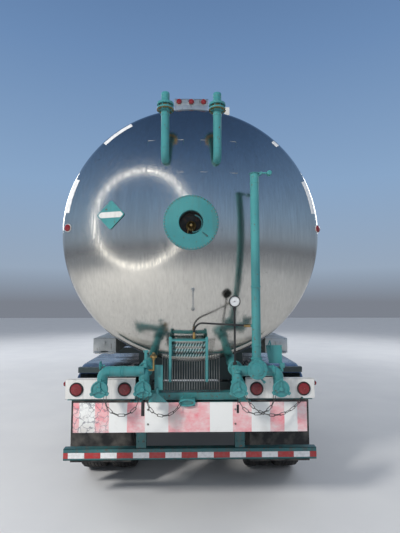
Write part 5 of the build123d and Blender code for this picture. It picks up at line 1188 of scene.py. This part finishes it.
def tray_door(name):
    """Folded sheet with two hinge knuckles along its foot and a turned knob."""
    (left, _, _), (right, back, top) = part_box(f"tray_door_{name}")
    plate_y, middle = back - 0.006, (left + right) / 2
    door = Shape()
    # Left, bottom, right, top, depth and chamfer of the sheet, its hinge tabs and its folded edges
    for low_x, low_z, high_x, high_z, depth, bevel in (
            (left, DOOR_PIN_Z + 0.016, right, top, DOOR_SHEET, 0.001),
            (left, DOOR_PIN_Z - 0.003, middle - 0.036, DOOR_PIN_Z + 0.018, DOOR_SHEET, 0.0008),
            (middle + 0.036, DOOR_PIN_Z - 0.003, right, DOOR_PIN_Z + 0.018, DOOR_SHEET, 0.0008),
            (left, DOOR_PIN_Z + 0.020, left + DOOR_SHEET, top - 0.002, 0.006, 0.0008),
            (right - DOOR_SHEET, DOOR_PIN_Z + 0.020, right, top - 0.002, 0.006, 0.0008),
            (left, top - DOOR_SHEET, right, top, 0.006, 0.0008)):
        door.box((low_x, plate_y, low_z), (high_x, plate_y + depth, high_z), bevel)
    for low_x in (middle - 0.090, middle + 0.035):
        door.lathe((low_x, DOOR_PIN_Y, DOOR_PIN_Z), X_AXIS, DOOR_KNUCKLE, 28, closed=True)
    door.lathe((middle, plate_y + 0.001, 1.500), -Y_AXIS, DOOR_KNOB, 32)
    door.box((middle - 0.005, plate_y - 0.012, 1.470), (middle + 0.005, plate_y - 0.006, 1.510))
    door.make(f"tray_lid_{name}", TRAY_SHEET, "aluminium_sheet", body=f"tray_door_{name}",
              replaces=[f"tray_door_{name}"])


for side_name in SIDES:
    tray_door(side_name)

tray_straps = Shape()
for side in SIDES.values():
    low, high = span(side, 0.7335, 0.9565)
    for strap_y in TRAY_STRAP_YS:
        tray_straps.box((low, strap_y - 0.020, DOOR_PIN_Z - 0.0015),
                        (high, strap_y + 0.020, TRAY_HIGH.z + 0.0015), 0.001)
tray_straps.make("tray_straps", BAR_METAL_SHADED, "cage_steel")


# Wheels

WHEEL_RADIUS = 0.525
OUTER_TYRE_X, INNER_TYRE_X = 1.072, 0.744
PAIR_X = (OUTER_TYRE_X + INNER_TYRE_X) / 2
AXLE_YS = {"rear": -3.500, "front": -2.255}
TREAD_STEPS = 160
# Lugs are cut across the shoulders and narrow slits across the ribs of the tread
SHOULDER = (0.0925, 0.1255)
LUG_DEPTH = 0.0096
LUG_STEPS = 5
RIBS = (0.0235, 0.0865)
RIB_LOW_RADIUS = 0.5155
SLIT_DEPTH = 0.006
SLIT_STEPS = 8
DISC_HALF = 0.006
DISC_INNER, DISC_OUTER = 0.106, 0.268
HAND_HOLES = 10
HAND_HOLE_RADIUS, HAND_HOLE_CIRCLE = 0.027, 0.222
NUT_CIRCLE = 0.1430

# Half of the tyre's section from the middle of the tread to the bead: x, radius
TYRE_SECTION = [(0.000, 0.525), (0.016, 0.525), (0.0165, 0.513), (0.0235, 0.513), (0.024, 0.5247),
                (0.050, 0.5243), (0.0505, 0.5125), (0.0575, 0.5125), (0.058, 0.5238), (0.086, 0.5222),
                (0.0865, 0.5115), (0.0925, 0.5112), (0.093, 0.5215), (0.112, 0.5185), (0.121, 0.512),
                (0.125, 0.502), (0.128, 0.490), (0.1325, 0.470), (0.1375, 0.440), (0.1393, 0.410),
                (0.1385, 0.380), (0.1345, 0.350), (0.1290, 0.328), (0.1285, 0.324), (0.1225, 0.312),
                (0.1150, 0.302), (0.1080, 0.296)]
# Sections of a rim and of the hub, outwards from the middle: radius, distance
RIM_EDGE = [(0.286, -0.108), (0.305, -0.110), (0.307, -0.105), (0.300, -0.100), (0.2905, -0.098),
            (0.2900, -0.060), (0.272, -0.040)]
RIM_SECTION = (RIM_EDGE + [(radius, -x) for radius, x in reversed(RIM_EDGE)]
               + [(0.278, 0.100), (0.266, 0.060), (0.264, -0.060), (0.278, -0.100)])
HUB_SECTION = [(0.040, -0.249), (0.100, -0.249), (0.104, -0.240), (0.104, -0.200), (0.085, -0.190),
               (0.085, -0.030), (0.104, -0.022), (0.104, 0.030), (0.088, 0.040), (0.086, 0.110),
               (0.098, 0.118), (0.098, 0.128), (0.076, 0.132), (0.074, 0.165), (0.064, 0.182),
               (0.040, 0.188), (0.001, 0.189)]


def tread_cut(x, radius, step):
    """How deep the tyre is cut at a place of its section and a step of its turn."""
    if SHOULDER[0] < abs(x) < SHOULDER[1] and step % LUG_STEPS in (0, 1):
        return LUG_DEPTH
    shift = 2 if x > 0 else 0
    if RIBS[0] < abs(x) < RIBS[1] and radius > RIB_LOW_RADIUS and (step + shift) % SLIT_STEPS == 0:
        return SLIT_DEPTH
    return 0.0


def tyre(shape, centre_x, axle_y):
    """Tyre with grooves round its tread, lugs along its shoulders and ribs on its sidewall."""
    rows = []
    for x, radius in [(-x, radius) for x, radius in reversed(TYRE_SECTION)] + TYRE_SECTION[1:]:
        row = []
        for step, (a, b) in enumerate(circle(TREAD_STEPS)):
            reach = radius - tread_cut(x, radius, step)
            row.append(Vector((centre_x + x, axle_y + reach * b, WHEEL_RADIUS + reach * a)))
        rows.append(row)
    shape.grid(rows)


def holed_disc(shape, origin, side, x):
    """The flat disc of a wheel with its ring of hand holes."""
    loops = [[Vector((a, b, 0)) * radius for a, b in circle(count)]
             for radius, count in ((DISC_OUTER, 80), (DISC_INNER, 48))]
    for a, b in circle(HAND_HOLES, pi / HAND_HOLES):
        middle = Vector((a, b, 0)) * HAND_HOLE_CIRCLE
        loops.append([middle + Vector((a, b, 0)) * HAND_HOLE_RADIUS for a, b in circle(20)])
    points = [point for loop in loops for point in loop]
    start, count = len(shape.vertices), len(points)
    for level in (x - DISC_HALF, x + DISC_HALF):
        shape.vertices.extend(origin + Vector((side * level, point.x, point.y)) for point in points)
    for a, b, c in tessellate_polygon(loops):
        shape.faces.append((start + a, start + b, start + c))
        shape.faces.append((start + count + a, start + count + c, start + count + b))
    for loop in loops:
        for k in range(len(loop)):
            here, after = start + k, start + (k + 1) % len(loop)
            shape.faces.append((here, after, after + count, here + count))
        start += len(loop)


def rims_and_hub(side, axle_y):
    """Two rims back to back, the holed disc, nuts and the hub with its cap."""
    shape = Shape()
    origin = Vector((0, axle_y, WHEEL_RADIUS))
    axis = X_AXIS * side
    pair = origin + axis * PAIR_X
    for centre_x in (INNER_TYRE_X, OUTER_TYRE_X):
        shape.lathe(origin + axis * centre_x, axis, RIM_SECTION, 80, closed=True)
    for x in (PAIR_X - 0.007, PAIR_X + 0.007):
        holed_disc(shape, origin, side, x)
    for way in (-1, 1):
        shape.lathe(pair, axis, [(0.262, way * 0.012), (0.272, way * 0.050)], 80)
    shape.lathe(pair, axis, HUB_SECTION, 56)
    for a, b in circle(10):
        nut = pair + axis * 0.013 + Vector((0, a, b)) * NUT_CIRCLE
        shape.bolt(nut, axis, 0.030, 0.026)
        shape.rod(nut, nut + axis * 0.040, 0.010)
    for a, b in circle(6):
        shape.bolt(pair + axis * 0.128 + Vector((0, a, b)) * 0.086, axis, 0.013, 0.007)
    return shape


for axle_name, axle_y in AXLE_YS.items():
    for side_name, side in SIDES.items():
        wheel = f"{axle_name}_{side_name}"
        rubber_pair = Shape()
        for centre_x in (OUTER_TYRE_X, INNER_TYRE_X):
            tyre(rubber_pair, side * centre_x, axle_y)
        rubber_pair.make(f"tyre_pair_{wheel}", TYRE, "tyre", body=f"wheels_{wheel}",
                         replaces=[f"tyres_{wheel}"], smooth=28)
        rims_and_hub(side, axle_y).make(f"rims_{wheel}", WHEEL_METAL, "wheel_aluminium",
                                        body=f"wheels_{wheel}", replaces=[f"hub_and_rims_{wheel}"])


# Air tanks, crank and small things on the chassis

AIR_LOW, AIR_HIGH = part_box("air_tanks")
AIR_RADIUS = 0.115
AIR_HALF = 0.320
AIR_Z = AIR_LOW.z + AIR_RADIUS
AIR_STRAP = [(AIR_RADIUS - 0.002, 0), (AIR_RADIUS + 0.001, 0.001), (AIR_RADIUS + 0.001, 0.039),
             (AIR_RADIUS - 0.002, 0.040)]
LEG_X, LEG_Y, LEG_HALF, SHAFT_Z = 0.590, 2.200, 0.070, 1.020
CRANK_Z = SHAFT_Z - 0.300

profile = [(0.001, 0)] + [(AIR_RADIUS * sin(turn), 0.040 * (1 - cos(turn)))
                          for turn in [pi / 2 * step / 8 for step in range(1, 9)]]
profile += [(radius, 2 * AIR_HALF - rise) for radius, rise in reversed(profile)]
air = Shape()
for tank_y in (AIR_LOW.y + AIR_RADIUS, AIR_HIGH.y - AIR_RADIUS):
    air.lathe((-AIR_HALF, tank_y, AIR_Z), X_AXIS, profile)
    for strap_x in (-0.230, 0.230):
        air.lathe((strap_x - 0.020, tank_y, AIR_Z), X_AXIS, AIR_STRAP)
    plug = Vector((0.10, tank_y - AIR_RADIUS, AIR_Z - 0.03))
    air.rod(plug + Y_AXIS * 0.004, plug - Y_AXIS * 0.004, 0.012, 6)
for side in SIDES.values():
    low, high = span(side, 0.240, RAIL_X)
    air.box((low, AIR_LOW.y, AIR_HIGH.z - 0.012), (high, AIR_HIGH.y, AIR_HIGH.z), 0.002)
air.make("air_reservoirs", DARK, "dark_paint", replaces=["air_tanks"])

inner, outer = LEG_X - LEG_HALF - 0.010, -LEG_X - LEG_HALF
crank = Shape().rod((-inner, LEG_Y, SHAFT_Z), (inner, LEG_Y, SHAFT_Z), 0.0155, 24)
crank.tube([(outer, LEG_Y, SHAFT_Z), (outer - 0.120, LEG_Y, SHAFT_Z), (outer - 0.120, LEG_Y, CRANK_Z),
            (outer - 0.240, LEG_Y, CRANK_Z)], 0.0130, 0.040, 24)
crank.collar((outer - 0.236, LEG_Y, CRANK_Z), X_AXIS, 0.0175, 0.100)
crank.collar((outer - 0.022, LEG_Y, SHAFT_Z), X_AXIS, 0.024, 0.022)
crank.make("landing_gear_crank", DARK, "dark_paint", replaces=["landing_gear_shaft"])

flap_trim = Shape()
flap_low, flap_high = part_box("mud_flaps")
trim_y = flap_low.y - 0.004
for side in SIDES.values():
    low, high = span(side, 0.605, flap_high.x - 0.004)
    flap_trim.box((low, trim_y, flap_high.z - 0.055), (high, flap_low.y, flap_high.z - 0.015), 0.001)
    for k in range(6):
        x = low + (high - low) * (k + 0.5) / 6
        flap_trim.bolt((x, trim_y, flap_high.z - 0.035), -Y_AXIS, 0.015, 0.008)
flap_trim.make("flap_clamp_strips", BAR_METAL_SHADED, "cage_steel")


# Small things on the jacket

TAPE_PROUD = 0.0010
TAPE_INNER, TAPE_OUTER = 1.140, 1.182
# First and last angle of each strip of tape round the rear head
TAPE_ARCS = ((119.2, 134.8), (155.8, 172.1), (8.1, 24.0), (44.7, 47.9))
TAPE_ARC_STEP = 1.2
PLACARD_X, PLACARD_Z = -0.709, 2.661
PLACARD_REACH = 0.128
PLACARD_BOLT = 0.055
BAND_HALF = 0.026
BAND_END, BAND_TIP = PLACARD_REACH - BAND_HALF - 0.006, PLACARD_REACH - 0.010
MARKERS = ((-1.136, 2.575), (1.195, 2.585))
HANDLE_X, HANDLE_ENDS = 0.017, (2.004, 1.833)
TAG_Z = 3.738
# Left, right, bottom and top of the two patch plates that the relief pipes come out of
PATCHES = ((-0.398, -0.069, 3.036, 3.369), (0.082, 0.413, 3.040, 3.368))


def head_strip(shape, first, last):
    """A strip of tape on the rear head between two angles."""
    steps = max(3, int((last - first) / TAPE_ARC_STEP))
    radii = [TAPE_INNER + (TAPE_OUTER - TAPE_INNER) * k / 3 for k in range(4)]
    rows = []
    for step in range(steps + 1):
        angle = radians(first + (last - first) * step / steps)
        rows.append([on_head(radius * cos(angle), TANK_AXIS_Z + radius * sin(angle), TAPE_PROUD)
                     for radius in radii])
    shape.grid(rows, closed_columns=False)


strips = Shape()
for first, last in TAPE_ARCS:
    head_strip(strips, first, last)
strips.make("head_tape", TAPE_WHITE, "white_paint")

centre = on_head(PLACARD_X, PLACARD_Z, 0.0075)
outward = off_head(PLACARD_X, PLACARD_Z)
level = Z_AXIS.cross(outward).normalized()
upward = outward.cross(level)
reach = PLACARD_REACH
diamond = [(0, reach), (0.008, reach), (reach, 0.008), (reach, -0.008), (0.008, -reach), (-0.008, -reach),
           (-reach, -0.008), (-reach, 0.008), (-0.008, reach)]
placard = Shape().slab(flat(centre, level, upward, diamond), -outward * 0.003)
for foot in flat(centre, level, upward, [(PLACARD_BOLT * a, PLACARD_BOLT * b)
                                         for b in (1, -1) for a in (1, -1)]):
    placard.bolt(foot, outward, 0.010, 0.004)
    placard.rod(foot, foot - outward * 0.0072, 0.006, 12)
placard.make("placard_plate", TEAL, "teal_paint")
hexagon = [(-BAND_END, BAND_HALF), (-BAND_TIP, 0.004), (-BAND_TIP, -0.004), (-BAND_END, -BAND_HALF),
           (BAND_END, -BAND_HALF), (BAND_TIP, -0.004), (BAND_TIP, 0.004), (BAND_END, BAND_HALF)]
placard_band = Shape().slab(flat(centre + outward * 0.0012, level, upward, hexagon), -outward * 0.0012)
placard_band.make("placard_band", WHITE, "white_paint")

markers, marker_bases = Shape(), Shape()
for x, z in MARKERS:
    foot, out = on_head(x, z, -0.002), (off_head(x, z) - Y_AXIS * 0.4).normalized()
    marker_bases.lathe(foot, out, [(0.037, 0), (0.037, 0.008), (0.033, 0.010)], 32, caps=True)
    markers.lathe(foot, out, [(0.0325, 0.008), (0.0325, 0.014), (0.026, 0.020), (0.014, 0.0235),
                              (0.001, 0.024)], 32)
markers.make("side_marker_lenses", LENS, "red_lens")
marker_bases.make("side_marker_bases", WHITE, "white_paint")

high_z, low_z = HANDLE_ENDS
high, low = on_head(HANDLE_X, high_z - 0.010, 0.030), on_head(HANDLE_X, low_z + 0.010, 0.030)
handle = Shape().tube([on_head(HANDLE_X, high_z), high + Z_AXIS * 0.010, low - Z_AXIS * 0.010,
                       on_head(HANDLE_X, low_z)], 0.006, 0.018, 20)
for z in HANDLE_ENDS:
    handle.lathe(on_head(HANDLE_X, z, -0.001), off_head(HANDLE_X, z),
                 [(0.016, 0), (0.016, 0.003), (0.012, 0.005)], 28, caps=True)
handle.make("head_grab_handle", TRAY_SHEET, "aluminium_sheet")

seams = Shape()
for left_x, right_x, low_z, high_z in PATCHES:
    corners = [(left_x, low_z), (right_x, low_z), (right_x, high_z), (left_x, high_z), (left_x, low_z)]
    for (x0, z0), (x1, z1) in zip(corners, corners[1:]):
        run = [on_head(x0 + (x1 - x0) * k / 12, z0 + (z1 - z0) * k / 12, 0.0005) for k in range(13)]
        seams.tube(run, 0.0035, 0.002, 8)
seams.make("head_patch_seams", JACKET, "jacket_steel")

tag = Shape().box((0.329, -4.600, TAG_Z), (0.379, -4.597, 3.826), 0.001)
tag.box((0.348, -4.598, TANK_AXIS_Z + 1.150), (0.360, -4.592, TAG_Z + 0.020), 0.001)
tag.make("rim_tag", WHITE, "white_paint")


# Camera, floor and light

CAMERA_PLACE = Vector((0.0, -8.420, 1.895))
CAMERA_PITCH = radians(5.07)
CAMERA_YAW = radians(1.29)
CAMERA_LENS = 27.02
FLOOR_HALF = 40.0
# Colours of the backdrop by the rise of the ray
SKY = ((0.00, (0.20, 0.22, 0.26)), (0.08, (0.31, 0.39, 0.50)), (0.28, (0.25, 0.38, 0.57)),
       (0.54, (0.15, 0.26, 0.46)), (0.80, (0.07, 0.14, 0.29)), (1.00, (0.035, 0.075, 0.17)))
PLAIN_LIGHT = (0.40, 0.43, 0.48)
# Ring lamp that only reflections show, as the round glare on the rear head
GLARE_MIDDLE = Vector((-3.69, -10.89, 4.39))
GLARE_AXIS = Vector((-0.465, -0.848, 0.253))
GLARE_RADIUS = 3.83
GLARE_TUBE = 0.10
GLARE_STRENGTH = 4.0
GLARE_STEPS, GLARE_SIDES = 120, 10


def camera():
    data = bpy.data.cameras.new("camera")
    data.lens = CAMERA_LENS
    data.sensor_width = 36.0
    data.clip_end = 200
    thing = bpy.data.objects.new("camera", data)
    thing.location = CAMERA_PLACE
    thing.rotation_euler = (pi / 2 + CAMERA_PITCH, 0, -CAMERA_YAW)
    bpy.context.scene.collection.objects.link(thing)
    bpy.context.scene.camera = thing


def staged(name, vertices, faces, material):
    """A mesh that belongs to the stage and not to the trailer."""
    mesh = bpy.data.meshes.new(name)
    mesh.from_pydata(vertices, [], faces)
    mesh.materials.append(material)
    thing = bpy.data.objects.new(name, mesh)
    bpy.context.scene.collection.objects.link(thing)
    return thing


def floor():
    nodes = Nodes("floor_pale")
    speckle = nodes.ramp(nodes.noise(1.2, 5), 0.3, 0.8, (0.68, 0.69, 0.71), (0.74, 0.75, 0.76))
    half = FLOOR_HALF
    staged("floor", [(-half, -half, 0), (half, -half, 0), (half, half, 0), (-half, half, 0)], [(0, 1, 2, 3)],
           nodes.finish(Base_Color=speckle, Roughness=0.8))


def light(name, place, target, size, power, colour=(1, 1, 1), mirrored=True):
    data = bpy.data.lights.new(name, "AREA")
    data.shape = "DISK"
    data.size = size
    data.energy = power
    data.color = colour
    thing = bpy.data.objects.new(name, data)
    thing.location = place
    thing.rotation_euler = (Vector(target) - Vector(place)).to_track_quat("-Z", "Y").to_euler()
    thing.visible_glossy = mirrored
    bpy.context.scene.collection.objects.link(thing)


def world():
    """A backdrop of plain sky that the camera and reflections show, and plain light on everything else."""
    scene = bpy.context.scene
    scene.world = bpy.data.worlds.new("studio")
    scene.world.use_nodes = True
    tree = scene.world.node_tree
    tree.nodes.clear()
    split = tree.nodes.new("ShaderNodeSeparateXYZ")
    tree.links.new(tree.nodes.new("ShaderNodeTexCoord").outputs["Generated"], split.inputs[0])
    sky = tree.nodes.new("ShaderNodeValToRGB")
    stops = sky.color_ramp.elements
    for number, (rise, colour) in enumerate(SKY):
        stop = stops[number] if number < 2 else stops.new(rise)
        stop.position = rise
        stop.color = rgba(colour)
    tree.links.new(split.outputs["Z"], sky.inputs["Fac"])
    path = tree.nodes.new("ShaderNodeLightPath")
    seen = path.outputs["Is Camera Ray"]
    for kind in ("Is Glossy Ray", "Is Transmission Ray"):
        either = tree.nodes.new("ShaderNodeMath")
        either.operation = "MAXIMUM"
        tree.links.new(seen, either.inputs[0])
        tree.links.new(path.outputs[kind], either.inputs[1])
        seen = either.outputs[0]
    colour = tree.nodes.new("ShaderNodeMix")
    colour.data_type = "RGBA"
    tree.links.new(seen, colour.inputs[0])
    colour.inputs[6].default_value = rgba(PLAIN_LIGHT)
    tree.links.new(sky.outputs["Color"], colour.inputs[7])
    background = tree.nodes.new("ShaderNodeBackground")
    tree.links.new(colour.outputs[2], background.inputs["Color"])
    out = tree.nodes.new("ShaderNodeOutputWorld")
    tree.links.new(background.outputs[0], out.inputs["Surface"])


def glare():
    """The ring lamp, which the camera doesn't see and which gives no diffuse light."""
    axis, level, other = turned(GLARE_AXIS)
    outwards = [level * a + other * b for a, b in circle(GLARE_STEPS)]
    stations = [(GLARE_MIDDLE + out * GLARE_RADIUS, out, axis) for out in outwards]
    ring = Shape().hoop(stations, GLARE_TUBE, GLARE_SIDES)
    glow = Nodes("glare_glow").finish(Base_Color=0.0, Roughness=1.0, Emission_Color=(1.0, 0.98, 0.94),
                                      Emission_Strength=GLARE_STRENGTH)
    thing = staged("glare_ring", [tuple(v) for v in ring.vertices], ring.faces, glow)
    thing.visible_camera = False
    thing.visible_diffuse = False
    thing.visible_shadow = False
    thing.visible_transmission = False


camera()
floor()
world()
glare()
light("key", (-7.5, -13.0, 9.0), (0, -4.5, 2.0), 2.0, 1300, (1.0, 0.96, 0.90), mirrored=False)
light("fill", (9.0, -11.0, 6.0), (0, -4.0, 1.6), 6.0, 130, (0.92, 0.96, 1.0), mirrored=False)
light("side", (-12.0, 6.0, 8.0), (0, 1.0, 1.5), 6.0, 520)
light("far_side", (12.0, 7.0, 8.0), (0, 1.0, 1.5), 6.0, 420)
light("front", (0.0, 15.0, 7.0), (0, 4.0, 2.0), 6.0, 420)
bpy.context.scene.view_settings.view_transform = "Standard"

# Finishes of the pieces that stay as they are

FINISHES = {"rear_frame": TEAL_FRAME_SHADED, "front_frame": TEAL, "landing_gear_frame": TEAL,
            "hose_trays": TRAY_SHEET, "mud_flaps": FLAP_RUBBER, "suspension": DARK, "axle_front": DARK,
            "axle_rear": DARK, "coupler_plate": DARK, "front_connection_box": DARK, "landing_legs": DARK}
for node, material in FINISHES.items():
    thing = frame["nodes"][node]
    thing.data.materials.clear()
    thing.data.materials.append(material)
